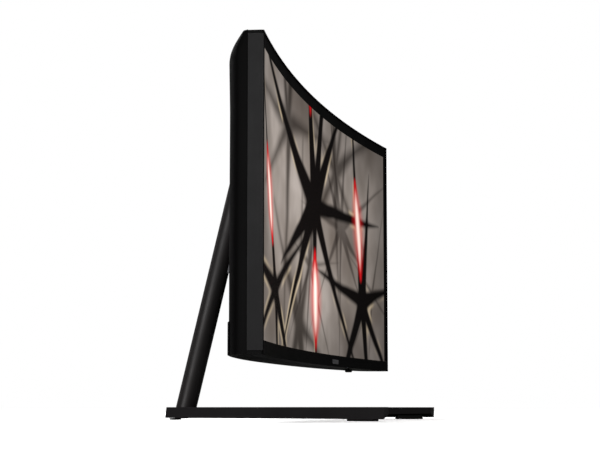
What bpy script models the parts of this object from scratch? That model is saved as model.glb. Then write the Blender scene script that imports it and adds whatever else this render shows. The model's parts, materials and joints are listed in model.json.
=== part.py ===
"""A curved ultra-wide desktop monitor on a leaning round pole with a V-shaped foot.

Metres, +Z up. The screen faces -Y, the pole and the foot's apex are at +Y. The desk is z = 0 and
the origin is under the middle of the object's box. It stands at its lowest height, upright.
"""

import math

import bmesh
import bpy
import numpy as np

# The screen is a vertical slice of a cylinder. Every layer of the head follows the same centre.
HALF_WIDTH = 0.4165
FRONT_END_Y = -0.0698
RADIUS = 3.256
BOTTOM_Z = 0.0761
TOP_Z = 0.4471
ARC_CENTRE_Y = FRONT_END_Y - math.sqrt(RADIUS**2 - HALF_WIDTH**2)
HALF_ANGLE = math.asin(HALF_WIDTH / RADIUS)
ARC_STEPS = 18

# Bezel and screen stack, as depths behind the front edge.
LIP = 0.0022
BORDER = 0.016
CHIN = 0.0157
TRIM_NOTCH = 0.0013
TRIM_END = 0.0037
FRAME_DEPTH = 0.0187
CLEAR = 0.0004
TRAY_REAR = 0.0104

# The rear cover bulges backwards from the frame's rear edge and stands slightly proud of its top.
COVER_WALL = 0.0025
COVER_TOP_Z = 0.4483
COVER_TOP_ROUND = 0.030
COVER_TOP_DEPTH = 0.4
COVER_FLARE = 0.04
FLARE_START_Z = 0.36
SKIRT_HEIGHT = 0.038
COVER_PLAN_X = (0.0, 0.074, 0.1452, 0.2204, 0.3325, 0.378, 0.400, 0.4115, 0.4160)
COVER_PLAN_Y = (0.0132, 0.0126, 0.0102, 0.0055, -0.0090, -0.0190, -0.0270, -0.0360, -0.0506)

# Pole: a slotted round tube leaning towards the screen.
LEAN = math.radians(13.65)
POLE_FOOT = np.array((0.0, 0.1471, 0.0187))
POLE_SEAT_Z = 0.0172
POLE_AXIS = np.array((0.0, -math.sin(LEAN), math.cos(LEAN)))
POLE_RADIUS = 0.01425
POLE_WALL = 0.002
POLE_LENGTH = 0.343
SLOT_WIDTH = 0.0104
SLOT_START = 0.140
SLOT_END = 0.312
PLUG_LENGTH = 0.036

# Neck and tilt hinge.
HINGE_Y = 0.044
HINGE_Z = 0.216
PIN_RADIUS = 0.004
PIN_HOLE = 0.00412
KNUCKLE_RADIUS = 0.011
KNUCKLE_HALF = 0.014
EAR_INNER = 0.0158
EAR_THICK = 0.003
WEB_HALF_X = 0.0047
WEB_HALF_Z = 0.010
SLIDER_START = 0.157
SLIDER_END = 0.225
SLIDER_RADIUS = 0.0094
GLIDE_RADIUS = 0.0120
GLIDE_LENGTH = 0.007

# Lift spring.
DRUM_ALONG = 0.3305
DRUM_RADIUS = 0.0055
DRUM_HALF = 0.0055

# Foot.
FOOT_TOP = 0.0175
FOOT_BOTTOM = 0.0025
FOOT_INNER_BOTTOM = 0.0083
TIP_Y = -0.1722
TIP_OUTER_X = 0.2221
TIP_INNER_X = 0.1871
APEX_Y = 0.1722
APEX_TOP_Y = 0.1699
APEX_HALF = 0.021
CROTCH_Y = 0.0937
CROTCH_HALF = 0.012
SKIN = 0.003
SEAT_FLOOR_Z = 0.0162
SEAT_GAP = 0.0004
GASKET_HALF_X = 0.0136
GASKET_HALF_Y = 0.0140
GASKET_Y = 0.1476
LEG_STEPS = 6
SCREW_Y = 0.1471

# Mount in the middle of the back.
MOUNT_Z = 0.216
PLATE_REAR_Y = 0.0027
SCREW_PITCH = 0.0375

# Joystick under the right end of the frame.
STICK_X = 0.235
STICK_DEPTH = 0.0124
STICK_PIVOT_Z = BOTTOM_Z + 0.0065


CORNERS = ((-1, -1), (1, -1), (1, 1), (-1, 1))


def clear_scene():
    for obj in list(bpy.data.objects):
        bpy.data.objects.remove(obj, do_unlink=True)


def material(name, color, roughness, metallic=0.0, emission=0.0):
    mat = bpy.data.materials.new(name)
    mat.use_nodes = True
    shader = mat.node_tree.nodes["Principled BSDF"]
    shader.inputs["Base Color"].default_value = (*color, 1.0)
    shader.inputs["Roughness"].default_value = roughness
    shader.inputs["Metallic"].default_value = metallic
    if emission:
        shader.inputs["Emission Color"].default_value = (*color, 1.0)
        shader.inputs["Emission Strength"].default_value = emission
    return mat


def mesh_object(name, points, faces, mat=None, smooth=True):
    """One object from points and faces, with its faces turned outwards."""
    mesh = bpy.data.meshes.new(name)
    mesh.from_pydata([tuple(map(float, p)) for p in points], [], [tuple(f) for f in faces])
    work = bmesh.new()
    work.from_mesh(mesh)
    bmesh.ops.recalc_face_normals(work, faces=work.faces)
    if work.calc_volume(signed=True) < 0:
        bmesh.ops.reverse_faces(work, faces=work.faces)
    work.to_mesh(mesh)
    work.free()
    obj = bpy.data.objects.new(name, mesh)
    bpy.context.scene.collection.objects.link(obj)
    if mat:
        mesh.materials.append(mat)
    if smooth:
        mesh.shade_smooth()
        mesh.set_sharp_from_angle(angle=math.radians(32))
    return obj


def helper(obj):
    """Keeps a cutter or a joined piece out of the model."""
    obj.hide_render = True
    obj.display_type = "WIRE"
    return obj


def combine(obj, other, operation):
    modifier = obj.modifiers.new(other.name, "BOOLEAN")
    modifier.operation = operation
    modifier.solver = "EXACT"
    modifier.object = helper(other)
    return obj


def cut(obj, *others):
    for other in others:
        combine(obj, other, "DIFFERENCE")
    return obj


def join(obj, *others):
    for other in others:
        combine(obj, other, "UNION")
    return obj


def loft(name, rings, mat=None, smooth=True):
    """Closed rings of equal length skinned one after the other, with both ends filled."""
    count = len(rings[0])
    points = [p for ring in rings for p in ring]
    faces = []
    for row in range(len(rings) - 1):
        for i in range(count):
            j = (i + 1) % count
            low = row * count
            faces.append((low + i, low + j, low + count + j, low + count + i))
    faces.append(tuple(range(count)))
    faces.append(tuple(range((len(rings) - 1) * count, len(rings) * count)))
    return mesh_object(name, points, faces, mat, smooth)


def box(name, low, high, mat=None):
    """A box from its lowest to its highest corner."""
    corners = [(0, 0), (1, 0), (1, 1), (0, 1)]
    ends = (low, high)
    rings = [[(ends[i][0], ends[j][1], ends[k][2]) for i, j in corners] for k in (0, 1)]
    return loft(name, rings, mat, smooth=False)


def boxes(name, pairs):
    """One cutter made of several separate boxes."""
    points = []
    faces = []
    for low, high in pairs:
        start = len(points)
        ends = (low, high)
        for k in (0, 1):
            for i, j in ((0, 0), (1, 0), (1, 1), (0, 1)):
                points.append((ends[i][0], ends[j][1], ends[k][2]))
        for quad in ((0, 3, 2, 1), (4, 5, 6, 7), (0, 1, 5, 4), (1, 2, 6, 5), (2, 3, 7, 6), (3, 0, 4, 7)):
            faces.append([start + i for i in quad])
    mesh = bpy.data.meshes.new(name)
    mesh.from_pydata(points, [], faces)
    obj = bpy.data.objects.new(name, mesh)
    bpy.context.scene.collection.objects.link(obj)
    return obj


def frame_of(axis):
    """Two unit vectors square to an axis, the first one along X where it can be."""
    axis = np.asarray(axis, float) / np.linalg.norm(axis)
    side = np.array((1.0, 0.0, 0.0)) if abs(axis[0]) < 0.9 else np.array((0.0, 1.0, 0.0))
    first = side - axis * side.dot(axis)
    first /= np.linalg.norm(first)
    return axis, first, np.cross(axis, first)


def turned(name, start, axis, profile, mat=None, steps=24):
    """A solid of revolution from (distance along the axis, radius) pairs, starting at a point."""
    axis, first, second = frame_of(axis)
    start = np.asarray(start, float)
    rings = []
    for along, radius in profile:
        ring = []
        for i in range(steps):
            turn = 2 * math.pi * (i + 0.5) / steps
            spoke = first * math.cos(turn) + second * math.sin(turn)
            ring.append(start + axis * along + spoke * radius)
        rings.append(ring)
    return loft(name, rings, mat)


def rod(name, start, axis, length, radius, mat=None, steps=24):
    return turned(name, start, axis, ((0, radius), (length, radius)), mat, steps)


def rounded(half_x, half_z, radius, steps=4):
    """A rounded rectangle's outline around (0, 0)."""
    points = []
    for sign_x, sign_z, start in ((1, 1, 0), (-1, 1, 90), (-1, -1, 180), (1, -1, 270)):
        for i in range(steps + 1):
            turn = math.radians(start + 90 * i / steps)
            x = sign_x * (half_x - radius) + radius * math.cos(turn)
            z = sign_z * (half_z - radius) + radius * math.sin(turn)
            points.append((x, z))
    return points


def slab_y(name, outline, centre, y_low, y_high, mat=None):
    """An (x, z) outline around a centre, extruded along Y."""
    rings = [[(centre[0] + x, y, centre[1] + z) for x, z in outline] for y in (y_low, y_high)]
    return loft(name, rings, mat)


def slab_z(name, outline, z_low, z_high, mat=None):
    """An (x, y) outline extruded along Z."""
    return loft(name, [[(x, y, z) for x, y in outline] for z in (z_low, z_high)], mat)


def on_arc(angle, depth, z):
    reach = RADIUS + depth
    return (reach * math.sin(angle), ARC_CENTRE_Y + reach * math.cos(angle), z)


def arc_y(x, depth):
    """Where a layer at some depth is, at a given x."""
    return ARC_CENTRE_Y + math.sqrt((RADIUS + depth) ** 2 - x**2)


def arc_slab(name, ends, depths, heights, mat=None, steps=ARC_STEPS):
    """A bent plate: from one arc length to another, between two depths and two heights."""
    rings = []
    for i in range(steps + 1):
        angle = (ends[0] + (ends[1] - ends[0]) * i / steps) / RADIUS
        corners = ((0, 0), (1, 0), (1, 1), (0, 1))
        rings.append([on_arc(angle, depths[a], heights[b]) for a, b in corners])
    return loft(name, rings, mat)


HALF_ARC = HALF_ANGLE * RADIUS


def arc_ring(name, inset, width, depths, mat=None, steps=ARC_STEPS):
    """A bent picture frame: inset from the outline, with left, right, bottom and top widths."""
    left, right, bottom, top = width
    edge = HALF_ARC - inset
    heights = (BOTTOM_Z + inset, TOP_Z - inset)
    ring = arc_slab(name, (-edge, edge), depths, heights, mat, steps)
    window = (heights[0] + bottom, heights[1] - top)
    through = (depths[0] - 0.002, depths[1] + 0.002)
    hole = arc_slab(name + "_window", (left - edge, edge - right), through, window, None, steps)
    return cut(ring, hole)


# Head: screen stack


def trim_notches():
    """Cutters that make room for the side trims along both ends of the front."""
    cutters = []
    for side, sign in (("left", -1), ("right", 1)):
        ends = sorted((sign * (HALF_ARC - TRIM_NOTCH), sign * (HALF_ARC + 0.002)))
        heights = (BOTTOM_Z + TRIM_END, TOP_Z - TRIM_END)
        cutters.append(arc_slab("notch_" + side, ends, (-0.002, 0.03), heights, None, 1))
    return cutters


def build_bezel(mats):
    widths = (LIP, LIP, CHIN, LIP)
    bezel = arc_ring("front_bezel", 0.0, widths, (0.0, 0.0016), mats["bezel"])
    return cut(bezel, *trim_notches())


def build_border_mask(mats):
    inset = LIP + CLEAR / 2
    width = BORDER - inset
    edge = HALF_ARC - inset
    low = BOTTOM_Z + CHIN + CLEAR / 2
    mask = arc_slab("border_mask", (-edge, edge), (0.0014, 0.0017), (low, TOP_Z - inset), mats["mask"])
    window = (low + 0.0004, TOP_Z - 0.0172)
    hole = arc_slab("border_mask_window", (width - edge, edge - width), (-0.002, 0.004), window)
    return cut(mask, hole)


def build_screen_stack(mats):
    edge = HALF_ARC - LIP - CLEAR
    low = BOTTOM_Z + CHIN - 0.004
    high = TOP_Z - LIP - CLEAR
    layers = (
        ("lcd_cell", edge - 0.0006, (0.0019, 0.0043), "screen"),
        ("prism_film", edge - 0.002, (0.0044, 0.0047), "film"),
        ("diffuser_sheet", edge - 0.002, (0.0048, 0.0052), "film"),
        ("light_guide", edge - 0.003, (0.0054, 0.0084), "acrylic"),
        ("reflector_sheet", edge - 0.003, (0.0086, 0.0089), "film"),
    )
    for name, reach, depths, mat in layers:
        top = high - 0.0006 if name == "lcd_cell" else high - 0.0030
        arc_slab(name, (-reach, reach), depths, (low + 0.0008, top), mats[mat])


def build_led_bar(mats):
    reach = HALF_ARC - 0.012
    low = BOTTOM_Z + 0.0046
    bar = arc_slab("led_bar", (-reach, reach), (0.0054, 0.0084), (low, low + 0.0012), mats["board"])
    count = 18
    for i in range(count):
        centre = -reach + 2 * reach * (i + 0.5) / count
        spot = (centre - 0.0035, centre + 0.0035)
        lens = arc_slab("led_%02d" % i, spot, (0.0060, 0.0078), (low + 0.0006, low + 0.0026), None, 1)
        join(bar, lens)
    return bar


def build_tray(mats):
    inset = 0.0036
    edge = HALF_ARC - inset
    heights = (BOTTOM_Z + inset, TOP_Z - inset)
    tray = arc_slab("backlight_tray", (-edge, edge), (0.0046, TRAY_REAR), heights, mats["steel"])
    wall = 0.0006
    inner = (heights[0] + wall, heights[1] - wall)
    hollow = arc_slab("tray_hollow", (wall - edge, edge - wall), (0.0, 0.0092), inner)
    return cut(tray, hollow)


def build_mid_frame(mats):
    wall = 0.0024
    frame = arc_ring("mid_frame", 0.0, (wall,) * 4, (0.0018, FRAME_DEPTH), mats["frame"])
    return cut(frame, *trim_notches())


def build_side_trims(mats):
    for side, sign in (("left", -1), ("right", 1)):
        ends = sorted((sign * (HALF_ARC - 0.0010), sign * (HALF_ARC + 0.0002)))
        heights = (BOTTOM_Z + 0.0040, TOP_Z - 0.0040)
        arc_slab("side_trim_" + side, ends, (0.0002, FRAME_DEPTH), heights, mats["trim"], 1)


def build_badge(mats):
    spot = (0.088, 0.124)
    heights = (BOTTOM_Z + 0.0037, BOTTOM_Z + 0.0098)
    plate = arc_slab("chin_badge", spot, (-0.0006, -0.0001), heights, mats["badge"], 4)
    return plate


def build_power_light(mats):
    """A small lens flush with the underside of the frame, in a hole of its own."""
    spot = (STICK_X - 0.033, STICK_X - 0.027)
    heights = (BOTTOM_Z + 0.0001, BOTTOM_Z + 0.0024)
    hole_spot = (spot[0] - 0.0003, spot[1] + 0.0003)
    hole = arc_slab("light_hole", hole_spot, (0.0043, 0.0061), (BOTTOM_Z - 0.001, BOTTOM_Z + 0.003), None, 1)
    cut(bpy.data.objects["mid_frame"], hole)
    return arc_slab("power_light", spot, (0.0046, 0.0058), heights, mats["lamp"], 1)


# Head: electronics


def board_with_parts(name, low, high, blocks, mats, mat):
    """A circuit board standing in the XZ plane, with component blocks standing on its back."""
    board = box(name, low, high, mats[mat])
    for i, (x, z, half_x, half_z, tall) in enumerate(blocks):
        base = (x - half_x, high[1] - 0.0005, z - half_z)
        tip = (x + half_x, high[1] + tall, z + half_z)
        join(board, box("%s_block_%d" % (name, i), base, tip))
    for i, (right, upper) in enumerate(((0, 0), (1, 0), (1, 1), (0, 1))):
        x = (low[0] + 0.005, high[0] - 0.005)[right]
        z = (low[2] + 0.005, high[2] - 0.005)[upper]
        start = arc_y(x, TRAY_REAR + 0.0004)
        join(board, rod("%s_post_%d" % (name, i), (x, start, z), (0, 1, 0), low[1] - start + 0.0005, 0.0025, None, 10))
    return board


def build_electronics(mats):
    main_blocks = (
        (-0.150, 0.215, 0.016, 0.016, 0.008),
        (-0.185, 0.240, 0.009, 0.006, 0.003),
        (-0.120, 0.250, 0.006, 0.010, 0.003),
    )
    board_with_parts("main_board", (-0.215, -0.0215, 0.170), (-0.095, -0.0199, 0.270), main_blocks, mats, "board")
    power_blocks = (
        (0.125, 0.240, 0.018, 0.016, 0.018),
        (0.170, 0.250, 0.010, 0.010, 0.014),
        (0.190, 0.205, 0.008, 0.016, 0.016),
        (0.140, 0.200, 0.014, 0.008, 0.010),
    )
    board_with_parts("power_board", (0.095, -0.0215, 0.180), (0.215, -0.0199, 0.275), power_blocks, mats, "board")
    tcon_blocks = ((0.0, 0.372, 0.014, 0.006, 0.003), (-0.05, 0.372, 0.010, 0.003, 0.004))
    board_with_parts("timing_board", (-0.085, -0.0235, 0.360), (0.085, -0.0221, 0.384), tcon_blocks, mats, "board")
    for side, sign in (("left", -1), ("right", 1)):
        xs = sorted((sign * 0.230, sign * 0.310))
        speaker = box("speaker_" + side, (xs[0], -0.0400, 0.100), (xs[1], -0.0150, 0.132), mats["plastic"])
        for i, offset in enumerate((-0.022, 0.022)):
            centre = (sign * 0.270 + offset, -0.0275, 0.0985)
            cone = turned("cone_%s_%d" % (side, i), centre, (0, 0, 1), ((0, 0.010), (0.0018, 0.0105)))
            join(speaker, cone)
    ports = box("port_block", (-0.200, -0.0170, 0.1402), (-0.100, 0.0005, 0.1560), mats["connector"])
    mouths = []
    windows = []
    for x, half in ((-0.187, 0.008), (-0.165, 0.008), (-0.143, 0.009), (-0.118, 0.010)):
        mouths.append(((x - half, -0.0125, 0.1300), (x + half, -0.0065, 0.1500)))
        windows.append(((x - half - 0.001, -0.0135, 0.1300), (x + half + 0.001, -0.0055, 0.1500)))
    cut(ports, boxes("port_mouths", mouths))
    recess = box("port_recess", (-0.2065, -0.0200, 0.1060), (-0.0935, 0.0026, 0.1398), mats["plastic"])
    cut(recess, box("recess_room", (-0.2050, -0.0185, 0.1075), (-0.0950, 0.0500, 0.1383)))
    cut(recess, boxes("recess_windows", windows))
    box("joystick_board", (0.215, -0.0391, 0.0885), (0.255, -0.0330, 0.0897), mats["board"])


def build_mount_chassis(mats):
    """The steel plate the neck bolts to, on four posts that stand on the backlight tray."""
    outline = rounded(0.064, 0.056, 0.006)
    plate = slab_y("mount_chassis", outline, (0.0, MOUNT_Z), PLATE_REAR_Y - 0.0025, PLATE_REAR_Y, mats["steel"])
    for i, (sx, sz) in enumerate(CORNERS):
        centre = (sx * 0.056, -0.0325, MOUNT_Z + sz * 0.048)
        join(plate, rod("post_%d" % i, centre, (0, 1, 0), 0.034, 0.005, None, 16))
    for i, (sx, sz) in enumerate(CORNERS):
        centre = (sx * SCREW_PITCH, -0.004, MOUNT_Z + sz * SCREW_PITCH)
        cut(plate, rod("plate_hole_%d" % i, centre, (0, 1, 0), 0.02, 0.0022, None, 16))
    return plate


# Head: rear cover


def cover_plan(steps=16):
    """Half of the rear outline, as (x, y) from the middle to the side, evenly spread."""
    knots_x = np.array(COVER_PLAN_X)
    knots_y = np.array(COVER_PLAN_Y)
    length = np.concatenate([[0], np.cumsum(np.hypot(np.diff(knots_x), np.diff(knots_y)))])
    spread = 1 - (1 - np.linspace(0, 1, steps + 1)) ** 1.6
    xs = np.interp(spread * length[-1], length, knots_x)
    ys = np.interp(spread * length[-1], length, knots_y)
    for _ in range(2):
        xs[1:-1] = (xs[:-2] + 2 * xs[1:-1] + xs[2:]) / 4
        ys[1:-1] = (ys[:-2] + 2 * ys[1:-1] + ys[2:]) / 4
    return xs, ys


def rim_y(x):
    """Where the frame's rear edge is, at a given x."""
    return arc_y(x, FRAME_DEPTH + CLEAR)


def cover_surface(inset):
    """Rows of points over the cover's back, bottom to top, shrunk by an inset on every side."""
    half_x, half_y = cover_plan()
    xs = np.concatenate([-half_x[:0:-1], half_x])
    ys = np.concatenate([half_y[:0:-1], half_y])
    low, high = BOTTOM_Z + inset, COVER_TOP_Z - inset
    round_start = COVER_TOP_Z - COVER_TOP_ROUND
    lower = np.append(np.linspace(low, FLARE_START_Z, 4), round_start)
    turn = np.linspace(0, math.pi / 2, 9)[1:]
    heights = np.concatenate([lower, round_start + (high - round_start) * np.sin(turn)])
    flare = 1 + COVER_FLARE * np.clip((lower - FLARE_START_Z) / (round_start - FLARE_START_Z), 0, 1)
    rounding = COVER_TOP_DEPTH + (1 - COVER_TOP_DEPTH) * np.cos(turn) ** 2
    fullness = np.concatenate([flare, flare[-1] * rounding])
    shrink = (HALF_WIDTH - 0.0005 - inset) / (HALF_WIDTH - 0.0005)
    rows = []
    for z, full in zip(heights, fullness):
        row = []
        for x, y in zip(xs, ys):
            rim = rim_y(x)
            deep = (y - rim) * full
            row.append((x * shrink, rim + max(deep - inset, 0.0), z))
        rows.append(row)
    return rows


def shell_from(name, outer, inner, mat):
    """A cup between two grids of points whose borders lie in the open face."""
    rows, columns = len(outer), len(outer[0])
    points = [p for row in outer for p in row] + [p for row in inner for p in row]
    shift = rows * columns
    faces = []
    for r in range(rows - 1):
        for c in range(columns - 1):
            a = r * columns + c
            quad = (a, a + 1, a + columns + 1, a + columns)
            faces.append(quad)
            faces.append(tuple(i + shift for i in quad))
    border = [(0, c) for c in range(columns)]
    border += [(r, columns - 1) for r in range(1, rows)]
    border += [(rows - 1, c) for c in range(columns - 2, -1, -1)]
    border += [(r, 0) for r in range(rows - 2, 0, -1)]
    for i, (r, c) in enumerate(border):
        r2, c2 = border[(i + 1) % len(border)]
        a, b = r * columns + c, r2 * columns + c2
        faces.append((a, b, b + shift, a + shift))
    return mesh_object(name, points, faces, mat)


def with_rim(rows):
    """Adds the rim points along the open face, so the bottom and the top get walls."""
    first, last = ([(x, rim_y(x), z) for x, _, z in row] for row in (rows[0], rows[-1]))
    return [first] + rows + [last]


def build_rear_cover(mats):
    outer = with_rim(cover_surface(0.0))
    inner = with_rim(cover_surface(COVER_WALL))
    cover = shell_from("rear_cover", outer, inner, mats["cover"])
    opening = slab_y("mount_opening", rounded(0.066, 0.058, 0.010), (0.0, MOUNT_Z), -0.02, 0.05)
    cut(cover, opening)
    cut(cover, box("port_bay", (-0.2045, -0.030, 0.1080), (-0.0955, 0.050, 0.1378)))
    vents = []
    for row in range(2):
        z = 0.362 + 0.011 * row
        for i in range(9):
            for sign in (-1, 1):
                x = sign * (0.045 + 0.024 * i)
                vents.append(((x - 0.0095, -0.02, z - 0.0015), (x + 0.0095, 0.05, z + 0.0015)))
    cut(cover, boxes("vents", vents))
    cut(cover, box("lock_slot", (0.2565, -0.02, 0.1490), (0.2635, 0.05, 0.1520)))
    return cover


def build_rear_skirt(mats):
    """A slightly proud band across the lower part of the back."""
    half_x, half_y = cover_plan()
    keep = half_x < 0.398
    half_x, half_y = half_x[keep], half_y[keep]
    xs = np.concatenate([-half_x[:0:-1], half_x])
    ys = np.concatenate([half_y[:0:-1], half_y])
    slope = np.gradient(ys, xs)
    size = np.hypot(1, slope)
    rings = []
    for x, y, sx, sy in zip(xs, ys, -slope / size, 1 / size):
        ring = []
        for out, z in ((0.0003, 0.0006), (0.0015, 0.0006), (0.0015, SKIRT_HEIGHT), (0.0003, SKIRT_HEIGHT)):
            ring.append((x + sx * out, y + sy * out, BOTTOM_Z + z))
        rings.append(ring)
    skirt = loft("rear_skirt", rings, mats["frame"])
    cut(skirt, box("skirt_port_bay", (-0.2045, -0.03, 0.1080), (-0.0955, 0.050, 0.1378)))
    return skirt


# Neck: tilt bracket on the head, carriage on the pole


def build_mount_cover(mats):
    cover = slab_y("mount_cover", rounded(0.0656, 0.0576, 0.0096), (0.0, MOUNT_Z), 0.0098, 0.0118, mats["cover"])
    opening = slab_y("ear_opening", rounded(0.024, 0.020, 0.006), (0.0, HINGE_Z), 0.0, 0.03)
    return cut(cover, opening)


def build_tilt_bracket(mats):
    front = PLATE_REAR_Y + 0.0003
    outline = rounded(0.045, 0.045, 0.005)
    bracket = slab_y("tilt_bracket", outline, (0.0, MOUNT_Z), front, front + 0.003, mats["dark_steel"])
    for side, sign in (("left", -1), ("right", 1)):
        xs = sorted((sign * EAR_INNER, sign * (EAR_INNER + EAR_THICK)))
        ear = []
        for x in xs:
            ring = [(x, front + 0.001, HINGE_Z - 0.015), (x, HINGE_Y - 0.012, HINGE_Z - 0.0115)]
            for i in range(13):
                turn = math.radians(-90 + 180 * i / 12)
                ring.append((x, HINGE_Y + 0.0115 * math.cos(turn), HINGE_Z + 0.0115 * math.sin(turn)))
            ring += [(x, HINGE_Y - 0.012, HINGE_Z + 0.0115), (x, front + 0.001, HINGE_Z + 0.015)]
            ear.append(ring)
        join(bracket, loft("ear_" + side, ear))
    pin_hole = rod("ear_pin_hole", (-0.03, HINGE_Y, HINGE_Z), (1, 0, 0), 0.06, PIN_HOLE)
    cut(bracket, pin_hole)
    for i, (sx, sz) in enumerate(CORNERS):
        centre = (sx * SCREW_PITCH, -0.004, MOUNT_Z + sz * SCREW_PITCH)
        cut(bracket, rod("bracket_hole_%d" % i, centre, (0, 1, 0), 0.02, 0.0024, None, 16))
        screw_start = (sx * SCREW_PITCH, -0.004, MOUNT_Z + sz * SCREW_PITCH)
        head = PLATE_REAR_Y + 0.0036 + 0.004
        profile = ((0, 0.0018), (head, 0.0018), (head, 0.0040), (head + 0.0016, 0.0038), (head + 0.0022, 0.0026))
        screw = turned("mount_screw_%d" % (i + 1), screw_start, (0, 1, 0), profile, mats["screw"], 16)
        socket = (sx * SCREW_PITCH, screw_start[1] + head + 0.0008, screw_start[2])
        cut(screw, rod("socket_%d" % i, socket, (0, 1, 0), 0.004, 0.0015, None, 6))
    return bracket


def build_hinge_pin(mats):
    end = EAR_INNER + EAR_THICK
    start = (-end - 0.0039, HINGE_Y, HINGE_Z)
    profile = ((0, 0.0062), (0.0003, 0.0066), (0.0036, 0.0066), (0.0036, PIN_RADIUS), (2 * end + 0.0100, PIN_RADIUS))
    turned("hinge_pin", start, (1, 0, 0), profile, mats["steel"])
    nut = rod("hinge_nut", (end + 0.0003, HINGE_Y, HINGE_Z), (1, 0, 0), 0.0045, 0.0074, mats["steel"], 6)
    cut(nut, rod("nut_hole", (end - 0.002, HINGE_Y, HINGE_Z), (1, 0, 0), 0.01, PIN_RADIUS + 0.0002))
    for side, sign in (("left", -1), ("right", 1)):
        inner = sign * (KNUCKLE_HALF + 0.0003)
        washer = rod("hinge_washer_" + side, (inner, HINGE_Y, HINGE_Z), (sign, 0, 0), 0.0011, 0.0095, mats["brass"])
        cut(washer, rod("washer_hole_" + side, (inner - sign * 0.001, HINGE_Y, HINGE_Z), (sign, 0, 0), 0.005, PIN_HOLE))


def pole_point(along, out=0.0):
    """A point on the pole's axis, or so far towards the back from it."""
    _, _, back = frame_of(POLE_AXIS)
    return POLE_FOOT + POLE_AXIS * along + back * out


def build_carriage(mats):
    """Slider inside the pole, web through its slot and knuckle round the hinge pin, in one casting."""
    core_length = SLIDER_END - SLIDER_START
    shoulder = GLIDE_LENGTH + 0.0010
    profile = (
        (0, SLIDER_RADIUS - 0.001),
        (0.001, SLIDER_RADIUS),
        (shoulder, SLIDER_RADIUS),
        (shoulder + 0.0003, 0.0112),
        (core_length - shoulder - 0.0003, 0.0112),
        (core_length - shoulder, SLIDER_RADIUS),
        (core_length - 0.001, SLIDER_RADIUS),
        (core_length, SLIDER_RADIUS - 0.001),
    )
    carriage = turned("carriage", pole_point(SLIDER_START), POLE_AXIS, profile, mats["cast"])
    rear = pole_point((HINGE_Z - POLE_FOOT[2]) / POLE_AXIS[2])[1]
    web_low = (-WEB_HALF_X, HINGE_Y + 0.006, HINGE_Z - WEB_HALF_Z)
    web_high = (WEB_HALF_X, rear, HINGE_Z + WEB_HALF_Z)
    web = box("neck_web", web_low, web_high)
    knuckle_start = (-KNUCKLE_HALF, HINGE_Y, HINGE_Z)
    knuckle = rod("neck_knuckle", knuckle_start, (1, 0, 0), 2 * KNUCKLE_HALF, KNUCKLE_RADIUS)
    join(carriage, web, knuckle)
    cut(carriage, rod("knuckle_hole", (-0.02, HINGE_Y, HINGE_Z), (1, 0, 0), 0.04, PIN_HOLE))
    return carriage


def build_glides(mats):
    for name, start in (("glide_lower", SLIDER_START + 0.0005), ("glide_upper", SLIDER_END - 0.0005 - GLIDE_LENGTH)):
        ring = rod(name, pole_point(start), POLE_AXIS, GLIDE_LENGTH, GLIDE_RADIUS, mats["nylon"])
        bore = rod(name + "_bore", pole_point(start - 0.002), POLE_AXIS, GLIDE_LENGTH + 0.004, SLIDER_RADIUS + 0.0003)
        cut(ring, bore)


def build_neck_cover(mats):
    """A short sleeve round the web, between the knuckle and the pole."""
    low_y = HINGE_Y + 0.0135
    high_y = 0.0785
    sleeve = slab_y("neck_cover", rounded(0.0165, 0.0165, 0.005), (0.0, HINGE_Z), low_y, high_y, mats["cover"])
    room = slab_y("neck_room", rounded(0.0052, 0.0105, 0.001), (0.0, HINGE_Z), low_y - 0.01, high_y + 0.01)
    return cut(sleeve, room)


# Stand


def build_pole(mats):
    start = -0.012
    tube = rod("pole_tube", pole_point(start), POLE_AXIS, POLE_LENGTH - start, POLE_RADIUS, mats["pole"], 40)
    bore = rod("pole_bore", pole_point(start - 0.002), POLE_AXIS, POLE_LENGTH + 0.03, POLE_RADIUS - POLE_WALL, None, 40)
    cut(tube, bore)
    cut(tube, box("pole_foot_cut", (-0.05, 0.08, -0.05), (0.05, 0.22, POLE_SEAT_Z)))
    _, side, back = frame_of(POLE_AXIS)
    rings = []
    for along in (SLOT_START, SLOT_END):
        centre = pole_point(along)
        ring = []
        for across, out in ((-1, -0.02), (1, -0.02), (1, -0.004), (-1, -0.004)):
            ring.append(centre + side * across * SLOT_WIDTH / 2 + back * out)
        rings.append(ring)
    cut(tube, loft("pole_slot", rings))
    axle_start = pole_point(DRUM_ALONG) - side * 0.0136
    cut(tube, rod("axle_holes", axle_start - side * 0.004, side, 0.0352, 0.0019, None, 16))
    rod("drum_axle", axle_start, side, 0.0272, 0.0016, mats["steel"], 16)
    cap_profile = (
        (-0.0030, POLE_RADIUS - POLE_WALL - 0.0003),
        (0.0003, POLE_RADIUS - POLE_WALL - 0.0003),
        (0.0003, POLE_RADIUS),
        (0.0022, POLE_RADIUS),
        (0.0034, POLE_RADIUS - 0.0012),
    )
    turned("pole_cap", pole_point(POLE_LENGTH), POLE_AXIS, cap_profile, mats["cover"], 40)
    plug = rod("pole_plug", pole_point(start), POLE_AXIS, PLUG_LENGTH - start, POLE_RADIUS - POLE_WALL - 0.0003, mats["cast"])
    cut(plug, box("plug_foot_cut", (-0.05, 0.08, -0.05), (0.05, 0.22, POLE_SEAT_Z)))
    cut(plug, rod("plug_thread", (0.0, SCREW_Y, 0.0), (0, 0, 1), 0.036, 0.0030, None, 16))
    return tube


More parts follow.
